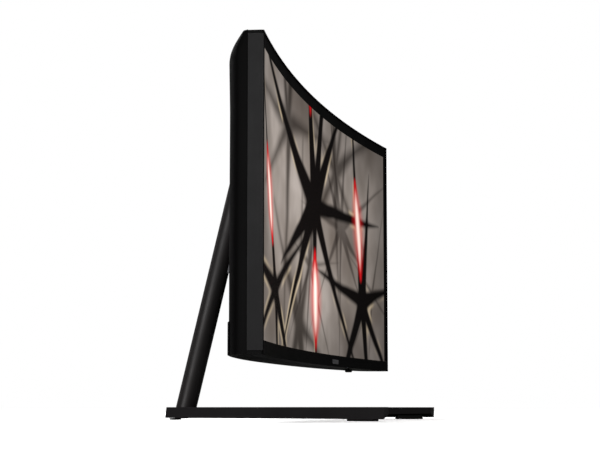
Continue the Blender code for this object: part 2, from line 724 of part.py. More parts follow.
def build_spring(mats):
    _, side, back = frame_of(POLE_AXIS)
    centre = pole_point(DRUM_ALONG)
    profile = (
        (0, 0.0068),
        (0.0012, 0.0068),
        (0.0012, DRUM_RADIUS),
        (2 * DRUM_HALF - 0.0012, DRUM_RADIUS),
        (2 * DRUM_HALF - 0.0012, 0.0068),
        (2 * DRUM_HALF, 0.0068),
    )
    drum = turned("spring_drum", centre - side * DRUM_HALF, side, profile, mats["nylon"])
    cut(drum, rod("drum_hole", centre - side * 0.01, side, 0.02, 0.00175, None, 16))
    coil_half = DRUM_HALF - 0.0015
    coil = rod("spring_coil", centre - side * coil_half, side, 2 * coil_half, 0.0064, mats["spring"])
    cut(coil, rod("coil_hole", centre - side * 0.01, side, 0.02, DRUM_RADIUS + 0.0002))
    rings = []
    for along in (SLIDER_END + 0.0004, DRUM_ALONG - 0.0004):
        middle = pole_point(along)
        corners = ((-1, 0.0069), (1, 0.0069), (1, 0.0072), (-1, 0.0072))
        rings.append([middle + side * across * coil_half + back * out for across, out in corners])
    loft("spring_ribbon", rings, mats["spring"])


def foot_section(sign, place, inset, low, high, thick):
    """One section of the V: at the tip of a leg or at its end beside the apex."""
    run = TIP_OUTER_X - APEX_HALF
    rise = APEX_Y - TIP_Y
    if place == "tip":
        side = inset * math.hypot(run, rise) / rise
        lean = inset / rise * run
        outer = (sign * (TIP_OUTER_X - side - lean), TIP_Y + inset)
        inner = (sign * (TIP_INNER_X + side - lean), TIP_Y + inset)
        inner_bottom = FOOT_INNER_BOTTOM
        back = 0.0
    else:
        outer = (sign * (APEX_HALF - inset / 2), APEX_Y - inset)
        inner = (sign * (CROTCH_HALF + inset / 2), CROTCH_Y + inset)
        inner_bottom = FOOT_BOTTOM + 0.002
        back = APEX_Y - APEX_TOP_Y
    bottoms = (FOOT_BOTTOM + low, inner_bottom + low)
    tops = (high, high) if thick is None else (bottoms[0] + thick, bottoms[1] + thick)
    shares = [(z - FOOT_BOTTOM) / (FOOT_TOP - FOOT_BOTTOM) for z in (bottoms[0], tops[0])]
    return np.array((
        (outer[0], outer[1] - back * shares[0], bottoms[0]),
        (outer[0], outer[1] - back * shares[1], tops[0]),
        (*inner, tops[1]),
        (*inner, bottoms[1]),
    ))


def foot_rings(inset, low, high=None, thick=None):
    """Sections of the V from the left tip round the apex to the right tip.

    low is how far above the underside a section starts. It ends at the height high, or it is
    thick in all, following the underside, which rises towards the inner edge of each leg.
    """
    legs = []
    for sign in (-1, 1):
        tip = foot_section(sign, "tip", inset, low, high, thick)
        apex = foot_section(sign, "apex", inset, low, high, thick)
        legs.append([tip + (apex - tip) * i / LEG_STEPS for i in range(LEG_STEPS + 1)])
    return legs[0] + legs[1][::-1]


def build_foot(mats):
    body = loft("foot_body", foot_rings(0.0, 0.0, FOOT_TOP), mats["foot"], smooth=False)
    room = foot_rings(SKIN, -0.006, 0.0142)
    cut(body, loft("foot_room", room, smooth=False))
    bolt = (0.0, SCREW_Y, 0.0)
    cut(body, rod("body_bolt_hole", bolt, (0, 0, 1), 0.03, 0.0034))
    ballast = loft("foot_ballast", foot_rings(SKIN + 0.0012, 0.0032, 0.0138), mats["steel"], smooth=False)
    cut(ballast, rod("ballast_bolt_hole", bolt, (0, 0, 1), 0.03, 0.0110))
    cover = loft("foot_cover", foot_rings(SKIN + 0.0005, 0.0002, thick=0.0015), mats["plastic"], smooth=False)
    cut(cover, rod("cover_bolt_hole", bolt, (0, 0, 1), 0.03, 0.0110))
    seat = rod("pole_seat", POLE_FOOT - POLE_AXIS * 0.02, POLE_AXIS, 0.04, POLE_RADIUS + SEAT_GAP)
    cut(seat, box("seat_floor", (-0.05, 0.08, -0.05), (0.05, 0.22, SEAT_FLOOR_Z)))
    cut(body, seat)
    outline = rounded(GASKET_HALF_X, GASKET_HALF_Y, GASKET_HALF_X - 0.0001)
    gasket = slab_z("pole_gasket", outline, SEAT_FLOOR_Z + 0.0002, POLE_SEAT_Z - 0.0002, mats["rubber"])
    for point in gasket.data.vertices:
        point.co.y += GASKET_Y
    cut(gasket, rod("gasket_bolt_hole", bolt, (0, 0, 1), 0.03, 0.0034))
    return body


def leg_point(sign, along, across):
    """A point under a leg: along from tip (0) to apex (1), across from the outer to the inner edge."""
    outer = (TIP_OUTER_X + (APEX_HALF - TIP_OUTER_X) * along, TIP_Y + (APEX_Y - TIP_Y) * along)
    inner = (TIP_INNER_X + (CROTCH_HALF - TIP_INNER_X) * along, TIP_Y + (CROTCH_Y - TIP_Y) * along)
    inner_bottom = FOOT_INNER_BOTTOM + (FOOT_BOTTOM + 0.002 - FOOT_INNER_BOTTOM) * along
    x = outer[0] + (inner[0] - outer[0]) * across
    y = outer[1] + (inner[1] - outer[1]) * across
    z = FOOT_BOTTOM + (inner_bottom - FOOT_BOTTOM) * across
    return sign * x, y, z - 0.0006


def build_pads(mats):
    for side, sign in (("left", -1), ("right", 1)):
        top = [leg_point(sign, *spot) for spot in ((0.045, 0.14), (0.16, 0.14), (0.16, 0.80), (0.045, 0.80))]
        rings = [[(x, y, 0.0) for x, y, _ in top], top]
        loft("pad_front_" + side, rings, mats["rubber"], smooth=False)
    pad = slab_z("pad_rear", rounded(0.016, 0.0045, 0.003), 0.0, FOOT_BOTTOM - 0.0003, mats["rubber"])
    for point in pad.data.vertices:
        point.co.y += 0.1635


def build_foot_screw(mats):
    """The captive screw that holds the pole, and the folding ring it is turned by."""
    start = (0.0, SCREW_Y, 0.0042)
    profile = ((0, 0.0080), (0.0005, 0.0085), (0.0042, 0.0085), (0.0042, 0.0028), (0.0240, 0.0028), (0.0248, 0.0022))
    screw = turned("foot_screw", start, (0, 0, 1), profile, mats["screw"])
    slot = box("screw_slot", (-0.0075, SCREW_Y - 0.0014, 0.003), (0.0075, SCREW_Y + 0.0014, 0.0062))
    cut(screw, slot)
    ring = []
    for z in (0.0015, 0.0033):
        outline = []
        for i in range(13):
            turn = math.pi * i / 12
            outline.append((0.0085 * math.cos(turn), SCREW_Y + 0.0085 * math.sin(turn), z))
        ring.append(outline)
    handle = loft("screw_ring", ring, mats["steel"])
    inner = []
    for z in (0.0, 0.006):
        outline = []
        for i in range(13):
            turn = math.pi * i / 12
            outline.append((0.0062 * math.cos(turn), SCREW_Y + 0.0018 + 0.0052 * math.sin(turn), z))
        inner.append(outline)
    cut(handle, loft("ring_room", inner))
    return screw


# Joystick


def build_joystick(mats):
    """Menu stick: a cap that rocks both ways in a small gimbal and presses upwards."""
    angle = math.asin(STICK_X / (RADIUS + STICK_DEPTH))
    x, y, _ = on_arc(angle, STICK_DEPTH, 0.0)
    frame = bpy.data.objects["mid_frame"]
    cut(frame, rod("stick_hole", (x, y, BOTTOM_Z - 0.004), (0, 0, 1), 0.008, 0.0042))
    tray = bpy.data.objects["backlight_tray"]
    low = (x - 0.006, y - 0.0045, BOTTOM_Z + 0.001)
    cut(tray, box("tray_notch", low, (x + 0.006, y + 0.008, BOTTOM_Z + 0.012)))
    cap_profile = (
        (-0.0055, 0.0038),
        (-0.0053, 0.0047),
        (-0.0047, 0.0053),
        (-0.0037, 0.0055),
        (-0.0010, 0.0053),
        (-0.0010, 0.0014),
        (0.0072, 0.0014),
    )
    turned("stick_cap", (x, y, BOTTOM_Z), (0, 0, 1), cap_profile, mats["bezel"])
    ring = rod("stick_rocker", (x, y, STICK_PIVOT_Z - 0.0010), (0, 0, 1), 0.0020, 0.0027, mats["nylon"])
    cut(ring, rod("rocker_hole", (x, y, STICK_PIVOT_Z - 0.004), (0, 0, 1), 0.008, 0.0018))
    cup_profile = ((-0.0016, 0.0037), (0.0038, 0.0037), (0.0042, 0.0032))
    cup = turned("stick_plunger", (x, y, STICK_PIVOT_Z), (0, 0, 1), cup_profile, mats["plastic"])
    cut(cup, rod("cup_room", (x, y, STICK_PIVOT_Z - 0.004), (0, 0, 1), 0.0058, 0.0031))
    return cup


def build_all(mats):
    build_bezel(mats)
    build_border_mask(mats)
    build_screen_stack(mats)
    build_led_bar(mats)
    build_tray(mats)
    build_mid_frame(mats)
    build_side_trims(mats)
    build_badge(mats)
    build_power_light(mats)
    build_electronics(mats)
    build_mount_chassis(mats)
    build_rear_cover(mats)
    build_rear_skirt(mats)
    build_mount_cover(mats)
    build_tilt_bracket(mats)
    build_hinge_pin(mats)
    build_carriage(mats)
    build_glides(mats)
    build_neck_cover(mats)
    build_pole(mats)
    build_spring(mats)
    build_foot(mats)
    build_pads(mats)
    build_foot_screw(mats)
    build_joystick(mats)


def materials():
    return {
        "bezel": material("bezel_plastic", (0.012, 0.012, 0.013), 0.35),
        "mask": material("border_glass", (0.005, 0.005, 0.006), 0.2),
        "screen": material("lit_screen", (0.25, 0.23, 0.21), 0.3, emission=0.6),
        "film": material("optical_film", (0.85, 0.86, 0.88), 0.4),
        "acrylic": material("acrylic", (0.80, 0.88, 0.90), 0.1),
        "steel": material("zinc_steel", (0.55, 0.56, 0.57), 0.4, 1.0),
        "frame": material("frame_plastic", (0.020, 0.020, 0.022), 0.5),
        "trim": material("trim_satin", (0.045, 0.044, 0.046), 0.4, 0.3),
        "badge": material("badge_metal", (0.45, 0.45, 0.46), 0.35, 0.8),
        "lamp": material("lamp_lens", (0.75, 0.85, 1.0), 0.3, emission=1.0),
        "board": material("circuit_board", (0.02, 0.16, 0.07), 0.5),
        "plastic": material("inner_plastic", (0.03, 0.03, 0.03), 0.6),
        "connector": material("connector_metal", (0.4, 0.4, 0.4), 0.4, 0.8),
        "cover": material("cover_plastic", (0.011, 0.011, 0.012), 0.55),
        "dark_steel": material("black_steel", (0.03, 0.03, 0.032), 0.45, 0.9),
        "screw": material("black_screw", (0.05, 0.05, 0.055), 0.35, 0.9),
        "brass": material("washer_brass", (0.62, 0.46, 0.18), 0.35, 1.0),
        "cast": material("cast_alloy", (0.22, 0.22, 0.23), 0.5, 0.9),
        "nylon": material("nylon", (0.70, 0.69, 0.65), 0.45),
        "spring": material("spring_steel", (0.42, 0.43, 0.45), 0.25, 1.0),
        "pole": material("pole_paint", (0.035, 0.031, 0.030), 0.4, 0.3),
        "foot": material("foot_paint", (0.022, 0.021, 0.022), 0.45, 0.2),
        "rubber": material("rubber", (0.02, 0.02, 0.02), 0.85),
    }


clear_scene()
build_all(materials())
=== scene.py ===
"""The curved monitor's looks: finer visible pieces, procedural finishes and a plain pale studio."""

import json
import math

import bmesh
import bpy
import numpy as np
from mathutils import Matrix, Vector


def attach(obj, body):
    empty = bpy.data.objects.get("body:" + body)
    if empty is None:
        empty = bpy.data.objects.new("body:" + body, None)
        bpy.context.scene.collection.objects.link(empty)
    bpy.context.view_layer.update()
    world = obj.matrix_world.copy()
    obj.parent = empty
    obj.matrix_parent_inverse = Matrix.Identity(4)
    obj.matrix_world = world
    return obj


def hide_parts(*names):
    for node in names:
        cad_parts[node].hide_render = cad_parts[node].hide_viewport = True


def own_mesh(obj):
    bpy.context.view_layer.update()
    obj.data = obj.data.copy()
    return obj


# The head's layers are bent round one vertical axis.
HALF_WIDTH = 0.4165
FRONT_END_Y = -0.0698
RADIUS = 3.256
BOTTOM_Z = 0.0761
TOP_Z = 0.4471
ARC_CENTRE_Y = FRONT_END_Y - math.sqrt(RADIUS**2 - HALF_WIDTH**2)
HALF_ARC = math.asin(HALF_WIDTH / RADIUS) * RADIUS
ARC_COLUMNS = 72
FRAME_DEPTH = 0.0187
LIP = 0.0022
CHIN = 0.0157
TRIM_NOTCH = 0.0013
TRIM_END = 0.0037
TRIM_PROUD = 0.0002
BEZEL_DEPTH = 0.0016
FRAME_WALL = 0.0024
BORDER = 0.016
BORDER_TOP = 0.0172
MASK_DEPTHS = (0.0014, 0.0017)
CELL_DEPTHS = (0.0018, 0.0043)
BADGE_SPAN = (0.088, 0.124)
BADGE_HEIGHTS = (0.0037, 0.0098)
BADGE_DEPTHS = (-0.0006, -0.0001)
LENS_DEPTHS = (0.0046, 0.0058)
SIDES = (("left", -1), ("right", 1))

COVER_START = FRAME_DEPTH + 0.0004
COVER_WALL = 0.0025
COVER_TOP_Z = 0.4483
COVER_TOP_ROUND = 0.030
COVER_TOP_DEPTH = 0.4
COVER_FLARE = 0.04
FLARE_START_Z = 0.36
SKIRT_HEIGHT = 0.038
COVER_PLAN_X = (0.0, 0.074, 0.1452, 0.2204, 0.3325, 0.378, 0.400, 0.4115, 0.4160)
COVER_PLAN_Y = (0.0132, 0.0126, 0.0102, 0.0055, -0.0090, -0.0190, -0.0270, -0.0360, -0.0506)

LEAN = math.radians(13.65)
POLE_FOOT = Vector((0.0, 0.1471, 0.0187))
POLE_SEAT_Z = 0.0172
POLE_AXIS = Vector((0.0, -math.sin(LEAN), math.cos(LEAN)))
POLE_BACK = Vector((0.0, math.cos(LEAN), math.sin(LEAN)))
POLE_RADIUS = 0.01425
POLE_WALL = 0.002
POLE_LENGTH = 0.343
SLOT_WIDTH = 0.0104
SLOT_START = 0.140
SLOT_END = 0.312
RIBBON_START = 0.2254
RIBBON_END = 0.3301
DRUM_ALONG = 0.3305

HINGE_Y = 0.044
HINGE_Z = 0.216
PIN_HOLE = 0.00412
EAR_INNER_X = 0.0158
EAR_OUTER_X = 0.0188
EAR_RADIUS = 0.0115
MOUNT_Z = 0.216
MOUNT_SCREW = 0.0375
BRACKET_Y = 0.0030
PORT_BAY = (-0.150, 0.1229)
PORTS = ((-0.187, 0.008), (-0.165, 0.008), (-0.143, 0.009), (-0.118, 0.010))
VENT_COUNT = 9
VENT_STEP = 0.024
VENT_ROWS_Z = (0.362, 0.373)

FOOT_TOP = 0.0175
FOOT_BOTTOM = 0.0025
FOOT_INNER_BOTTOM = 0.0083
TIP_Y = -0.1722
TIP_OUTER_X = 0.2221
TIP_INNER_X = 0.1871
APEX_Y = 0.1722
APEX_TOP_Y = 0.1699
APEX_HALF = 0.021
CROTCH_Y = 0.0937
CROTCH_HALF = 0.012
SEAT_FLOOR_Z = 0.0162
SCREW_Y = 0.1471
SCREW_HEAD = 0.0085
BOLT_HOLE = 0.0034

STICK_X = 0.235
STICK_DEPTH = 0.0124
LAMP_FROM_STICK = (-0.033, -0.027)
GRIP_RIBS = 24

# Abstract picture on the screen, in screen heights from its lower left corner.
# Knots are (x, y, size, number of rays, their reach). Glows are (front ray, start, end, width).
PICTURE_SEED = 13
PICTURE_ASPECT = 2.39
FRONT_KNOTS = ((1.14, 0.60, 0.085, 9, 1.25), (2.02, 0.26, 0.070, 7, 1.00), (0.30, 0.20, 0.045, 6, 1.10))
BACK_KNOTS = ((0.60, 0.85, 0.070, 7, 0.80), (1.55, 0.80, 0.060, 7, 0.80), (0.85, 0.10, 0.080, 6, 0.70))
GLOWS = (
    (4, 0.30, 0.62, 0.13),
    (8, 0.18, 0.50, 0.15),
    (3, 0.55, 0.90, 0.10),
    (9, 0.10, 0.50, 0.12),
    (20, 0.15, 0.45, 0.10),
)

HAZE_DARK = (0.160, 0.128, 0.108)
HAZE_LIGHT = (0.50, 0.44, 0.40)
MOTTLE = (0.22, 0.185, 0.155)
FAR_STRAND = (0.020, 0.014, 0.010)
THREAD = (0.016, 0.010, 0.008)
NEAR_STRAND = (0.0030, 0.0018, 0.0016)
RIM_LIGHT = (0.95, 0.76, 0.50)
GLOW_RED = (1.0, 0.012, 0.018)
GLOW_CORE = (1.45, 1.18, 1.05)

# Camera: low, beside the left end of the screen and looking slightly up.
CAMERA_AT = (-2.0853, -0.4937, 0.0160)
CAMERA_YAW = 12.887
CAMERA_TILT = 6.803
CAMERA_LENS = 92.157

# Lights are (name, place, aim, side length, power). The rear one lights the back without showing in
# reflections; the sheen, at the same place, is the small part of it that does show.
FLOOR_REACH = 30.0
WORLD_GLOW = 0.035
LIGHTS = (
    ("key", (-2.5, 1.30, 0.24), (0.0, 0.1, 0.1), 1.0, 24.0),
    ("side", (-2.9, -0.1, 0.8), (-0.4, 0.0, 0.2), 0.9, 5.2),
    ("top", (0.0, 0.3, 3.4), (0.0, 0.0, 0.0), 2.2, 100.0),
    ("front", (0.4, -2.6, 2.6), (0.0, 0.0, 0.2), 1.4, 16.0),
    ("rear", (1.7, 1.9, 2.6), (0.0, 0.0, 0.2), 1.6, 200.0),
    ("sheen", (1.7, 1.9, 2.6), (0.0, 0.0, 0.2), 1.6, 90.0),
)

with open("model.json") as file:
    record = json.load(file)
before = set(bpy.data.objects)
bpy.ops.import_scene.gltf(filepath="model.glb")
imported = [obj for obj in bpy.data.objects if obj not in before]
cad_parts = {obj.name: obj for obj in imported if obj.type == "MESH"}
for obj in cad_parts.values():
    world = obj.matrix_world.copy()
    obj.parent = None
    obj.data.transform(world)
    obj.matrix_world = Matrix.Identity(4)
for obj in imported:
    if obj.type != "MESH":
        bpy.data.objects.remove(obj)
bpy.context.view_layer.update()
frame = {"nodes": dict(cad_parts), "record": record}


# Shader helpers


class Nodes:
    """Short ways to add and join shader nodes."""

    def __init__(self):
        self.mat = bpy.data.materials.new("look")
        self.mat.use_nodes = True
        self.tree = self.mat.node_tree
        self.shader = self.tree.nodes["Principled BSDF"]
        self.at = self.add("ShaderNodeTexCoord").outputs["Object"]

    def add(self, kind, **values):
        node = self.tree.nodes.new(kind)
        for key, value in values.items():
            setattr(node, key, value)
        return node

    def put(self, socket, value):
        """Sets an input from another node's output or from a plain value."""
        if isinstance(value, bpy.types.NodeSocket):
            self.tree.links.new(value, socket)
        elif isinstance(value, (tuple, list)) and len(value) == 3 and socket.type == "RGBA":
            socket.default_value = (*value, 1.0)
        else:
            socket.default_value = value

    def math(self, operation, a, b=0.0, c=0.0, clamp=False):
        node = self.add("ShaderNodeMath", operation=operation, use_clamp=clamp)
        for i, value in enumerate((a, b, c)):
            self.put(node.inputs[i], value)
        return node.outputs[0]

    def vector(self, operation, a, b):
        node = self.add("ShaderNodeVectorMath", operation=operation)
        self.put(node.inputs[0], a)
        self.put(node.inputs["Scale" if operation == "SCALE" else 1], b)
        return node.outputs["Value" if operation in ("DOT_PRODUCT", "DISTANCE") else "Vector"]

    def scaled(self, vector, scale=(1.0, 1.0, 1.0), shift=(0.0, 0.0, 0.0), turn=(0.0, 0.0, 0.0)):
        node = self.add("ShaderNodeMapping")
        self.put(node.inputs["Vector"], vector)
        self.put(node.inputs["Scale"], scale)
        self.put(node.inputs["Location"], shift)
        self.put(node.inputs["Rotation"], turn)
        return node.outputs[0]

    def noise(self, vector, scale, detail=3.0, rough=0.5, distortion=0.0):
        node = self.add("ShaderNodeTexNoise")
        self.put(node.inputs["Vector"], vector)
        self.put(node.inputs["Scale"], scale)
        self.put(node.inputs["Detail"], detail)
        self.put(node.inputs["Roughness"], rough)
        self.put(node.inputs["Distortion"], distortion)
        return node.outputs[0]

    def voronoi(self, vector, scale, randomness=1.0):
        node = self.add("ShaderNodeTexVoronoi")
        self.put(node.inputs["Vector"], vector)
        self.put(node.inputs["Scale"], scale)
        self.put(node.inputs["Randomness"], randomness)
        return node.outputs["Distance"]

    def span(self, value, from_low, from_high, to_low=0.0, to_high=1.0, smooth=False):
        node = self.add("ShaderNodeMapRange", interpolation_type="SMOOTHSTEP" if smooth else "LINEAR")
        for name, number in (
            ("Value", value),
            ("From Min", from_low),
            ("From Max", from_high),
            ("To Min", to_low),
            ("To Max", to_high),
        ):
            self.put(node.inputs[name], number)
        return node.outputs[0]

    def mix(self, share, a, b):
        node = self.add("ShaderNodeMix", data_type="RGBA")
        self.put(node.inputs[0], share)
        self.put(node.inputs[6], a)
        self.put(node.inputs[7], b)
        return node.outputs[2]

    def bump(self, height, distance, strength=1.0, base=None):
        node = self.add("ShaderNodeBump")
        self.put(node.inputs["Height"], height)
        self.put(node.inputs["Distance"], distance)
        self.put(node.inputs["Strength"], strength)
        if base is not None:
            self.put(node.inputs["Normal"], base)
        return node.outputs[0]

    def set(self, **values):
        for key, value in values.items():
            self.put(self.shader.inputs[key.replace("_", " ")], value)
        return self.mat


def tinted(color, factor):
    return tuple(channel * factor for channel in color)


def moulded(color, rough, grain=2600.0, depth=0.00003, specular=0.5):
    """Spark-eroded plastic: fine grain, faint flow clouds and a little wear in the sheen."""
    n = Nodes()
    fine = n.noise(n.at, grain, 2.0, 0.6)
    pits = n.voronoi(n.at, grain * 0.55)
    clouds = n.noise(n.at, 9.0, 4.0, 0.6)
    dust = n.noise(n.scaled(n.at, (1.0, 1.0, 0.4)), 160.0, 3.0, 0.7)
    tone = n.span(clouds, 0.3, 0.7, 0.86, 1.14)
    speck = n.span(dust, 0.62, 0.80, 0.0, 0.35)
    base = n.mix(speck, color, tinted(color, 1.9))
    shade = n.add("ShaderNodeHueSaturation")
    n.put(shade.inputs["Color"], base)
    n.put(shade.inputs["Value"], tone)
    height = n.math("MULTIPLY_ADD", pits, 0.6, fine)
    sheen = n.math("MULTIPLY_ADD", fine, 0.05, n.span(clouds, 0.25, 0.75, rough - 0.05, rough + 0.06))
    return n.set(
        Base_Color=shade.outputs[0],
        Roughness=sheen,
        Specular_IOR_Level=specular,
        Normal=n.bump(height, depth, 0.7),
    )


def painted(color, rough, metallic=0.25, flake=0.0, peel=0.00006):
    """Powder coat or lacquer: orange peel, tiny flakes and slightly polished edges."""
    n = Nodes()
    peel_wave = n.noise(n.at, 420.0, 2.0, 0.5)
    micro = n.noise(n.at, 2400.0, 2.0, 0.6)
    clouds = n.noise(n.at, 14.0, 4.0, 0.55)
    flakes = n.voronoi(n.at, 3200.0)
    glint = n.span(flakes, 0.10, 0.02, 0.0, flake)
    wear = n.add("ShaderNodeBevel", samples=4)
    n.put(wear.inputs["Radius"], 0.0007)
    normal = n.add("ShaderNodeNewGeometry").outputs["Normal"]
    corner = n.span(n.vector("DOT_PRODUCT", wear.outputs[0], normal), 0.995, 0.90)
    edge = n.math("MULTIPLY", corner, n.span(clouds, 0.4, 0.6, 0.1, 0.5))
    base = n.mix(n.math("ADD", glint, edge, clamp=True), color, tinted(color, 2.6))
    sheen = n.math("MULTIPLY_ADD", edge, -0.08, n.span(clouds, 0.3, 0.7, rough - 0.05, rough + 0.05))
    height = n.math("MULTIPLY_ADD", micro, 0.25, peel_wave)
    return n.set(
        Base_Color=base,
        Roughness=sheen,
        Metallic=metallic,
        Normal=n.bump(height, peel, 0.6),
    )


def brushed(color, rough, scale=(900.0, 900.0, 6.0), depth=0.00002, metallic=1.0):
    """Metal with fine lines drawn along the axis whose scale is smallest."""
    n = Nodes()
    lines = n.noise(n.scaled(n.at, scale), 1.0, 4.0, 0.65)
    broad = n.noise(n.scaled(n.at, tuple(s * 0.12 for s in scale)), 1.0, 3.0, 0.5)
    stains = n.noise(n.at, 35.0, 4.0, 0.6)
    tone = n.span(lines, 0.3, 0.7, 0.82, 1.18)
    shade = n.add("ShaderNodeHueSaturation")
    n.put(shade.inputs["Color"], n.mix(n.span(stains, 0.45, 0.7, 0.0, 0.3), color, tinted(color, 0.75)))
    n.put(shade.inputs["Value"], tone)
    stained = n.span(stains, 0.3, 0.7, -0.03, 0.04)
    sheen = n.math("ADD", n.span(lines, 0.3, 0.7, rough - 0.07, rough + 0.07), stained)
    height = n.math("MULTIPLY_ADD", broad, 0.8, lines)
    return n.set(
        Base_Color=shade.outputs[0],
        Roughness=sheen,
        Metallic=metallic,
        Normal=n.bump(height, depth, 0.5),
    )


def cast(color, rough):
    n = Nodes()
    skin = n.noise(n.at, 900.0, 5.0, 0.7)
    pits = n.span(n.voronoi(n.at, 420.0), 0.0, 0.25, 0.0, 1.0)
    clouds = n.noise(n.at, 40.0, 4.0, 0.6)
    base = n.mix(n.span(clouds, 0.35, 0.65, 0.0, 0.6), color, tinted(color, 0.65))
    height = n.math("MULTIPLY_ADD", pits, 0.5, skin)
    return n.set(
        Base_Color=base,
        Roughness=n.span(skin, 0.3, 0.7, rough - 0.1, rough + 0.1),
        Metallic=0.85,
        Normal=n.bump(height, 0.00012, 0.8),
    )


def rubber(color):
    n = Nodes()
    fine = n.noise(n.at, 1500.0, 3.0, 0.7)
    dust = n.noise(n.at, 90.0, 4.0, 0.7)
    base = n.mix(n.span(dust, 0.5, 0.8, 0.0, 0.5), color, tinted(color, 2.4))
    return n.set(
        Base_Color=base,
        Roughness=n.span(fine, 0.3, 0.7, 0.72, 0.92),
        Normal=n.bump(fine, 0.00006, 0.8),
    )


def circuit():
    """Solder mask over copper: straight tracks, pads and plated holes."""
    n = Nodes()
    tracks = n.add("ShaderNodeTexBrick")
    n.put(tracks.inputs["Vector"], n.scaled(n.at, (260.0, 1.0, 260.0), turn=(math.radians(90), 0.0, 0.0)))
    n.put(tracks.inputs["Scale"], 1.0)
    n.put(tracks.inputs["Mortar Size"], 0.035)
    pads = n.span(n.voronoi(n.at, 300.0, randomness=0.2), 0.16, 0.13)
    zones = n.noise(n.at, 60.0, 2.0, 0.5)
    green = n.mix(n.span(zones, 0.4, 0.6), (0.012, 0.10, 0.035), (0.02, 0.17, 0.06))
    lined = n.mix(n.math("MULTIPLY", tracks.outputs["Fac"], 0.8), green, (0.03, 0.24, 0.09))
    plated = n.mix(pads, lined, (0.75, 0.66, 0.42))
    height = n.math("ADD", tracks.outputs["Fac"], pads)
    return n.set(
        Base_Color=plated,
        Roughness=n.span(zones, 0.3, 0.7, 0.3, 0.5),
        Metallic=n.math("MULTIPLY", pads, 0.9),
        Normal=n.bump(height, 0.00005, 0.5),
    )


def sheet(color, rough, clear=0.0):
    """Optical film or clear acrylic with a faint dot pattern."""
    n = Nodes()
    dots = n.span(n.voronoi(n.at, 700.0, randomness=0.1), 0.30, 0.22)
    haze = n.noise(n.at, 25.0, 3.0, 0.5)
    base = n.mix(n.math("MULTIPLY", dots, 0.4), color, (1.0, 1.0, 1.0))
    return n.set(
        Base_Color=base,
        Roughness=n.span(haze, 0.3, 0.7, rough - 0.05, rough + 0.05),
        Transmission_Weight=clear,
        Normal=n.bump(dots, 0.00002, 0.4),
    )


def lamp_lens():
    n = Nodes()
    frost = n.noise(n.at, 1800.0, 3.0, 0.6)
    return n.set(
        Base_Color=(0.8, 0.88, 1.0),
        Roughness=n.span(frost, 0.3, 0.7, 0.35, 0.6),
        Emission_Color=(0.75, 0.87, 1.0),
        Emission_Strength=n.span(frost, 0.2, 0.8, 1.2, 2.0),
        Normal=n.bump(frost, 0.00002, 0.5),
    )


def black_glass():
    """The black border under the anti-glare surface."""
    n = Nodes()
    grit = n.noise(n.at, 5200.0, 2.0, 0.6)
    smear = n.noise(n.scaled(n.at, (1.0, 1.0, 0.35)), 22.0, 4.0, 0.6)
    smeared = n.span(smear, 0.4, 0.7, 0.0, 0.4)
    return n.set(
        Base_Color=n.mix(smeared, (0.0016, 0.0016, 0.0018), (0.004, 0.004, 0.0045)),
        Roughness=n.span(smear, 0.3, 0.7, 0.30, 0.42),
        Specular_IOR_Level=0.08,
        Normal=n.bump(grit, 0.00001, 0.5),
    )


def near_segment(n, place, start, end):
    """Distance to a straight segment, and how far along it the nearest point lies."""
    run = np.subtract(end, start)
    away = n.vector("SUBTRACT", place, (*start, 0.0))
    along = n.vector("DOT_PRODUCT", away, (*(run / run.dot(run)), 0.0))
    share = n.math("ADD", along, 0.0, clamp=True)
    return n.vector("DISTANCE", away, n.vector("SCALE", (*run, 0.0), share)), share


def knot_rays(rng, x, y, size, count, reach):
    """Tapering rays from one knot as (start, end, width at the start, width at the end)."""
    rays = []
    turn = rng.uniform(0, 2 * math.pi)
    for i in range(count):
        angle = turn + 2 * math.pi * (i + rng.uniform(-0.3, 0.3)) / count
        length = reach * rng.uniform(0.6, 1.15)
        end = (x + length * math.cos(angle), y + length * math.sin(angle))
        rays.append(((x, y), end, size * rng.uniform(0.5, 1.0), size * rng.uniform(0.10, 0.22)))
    return rays


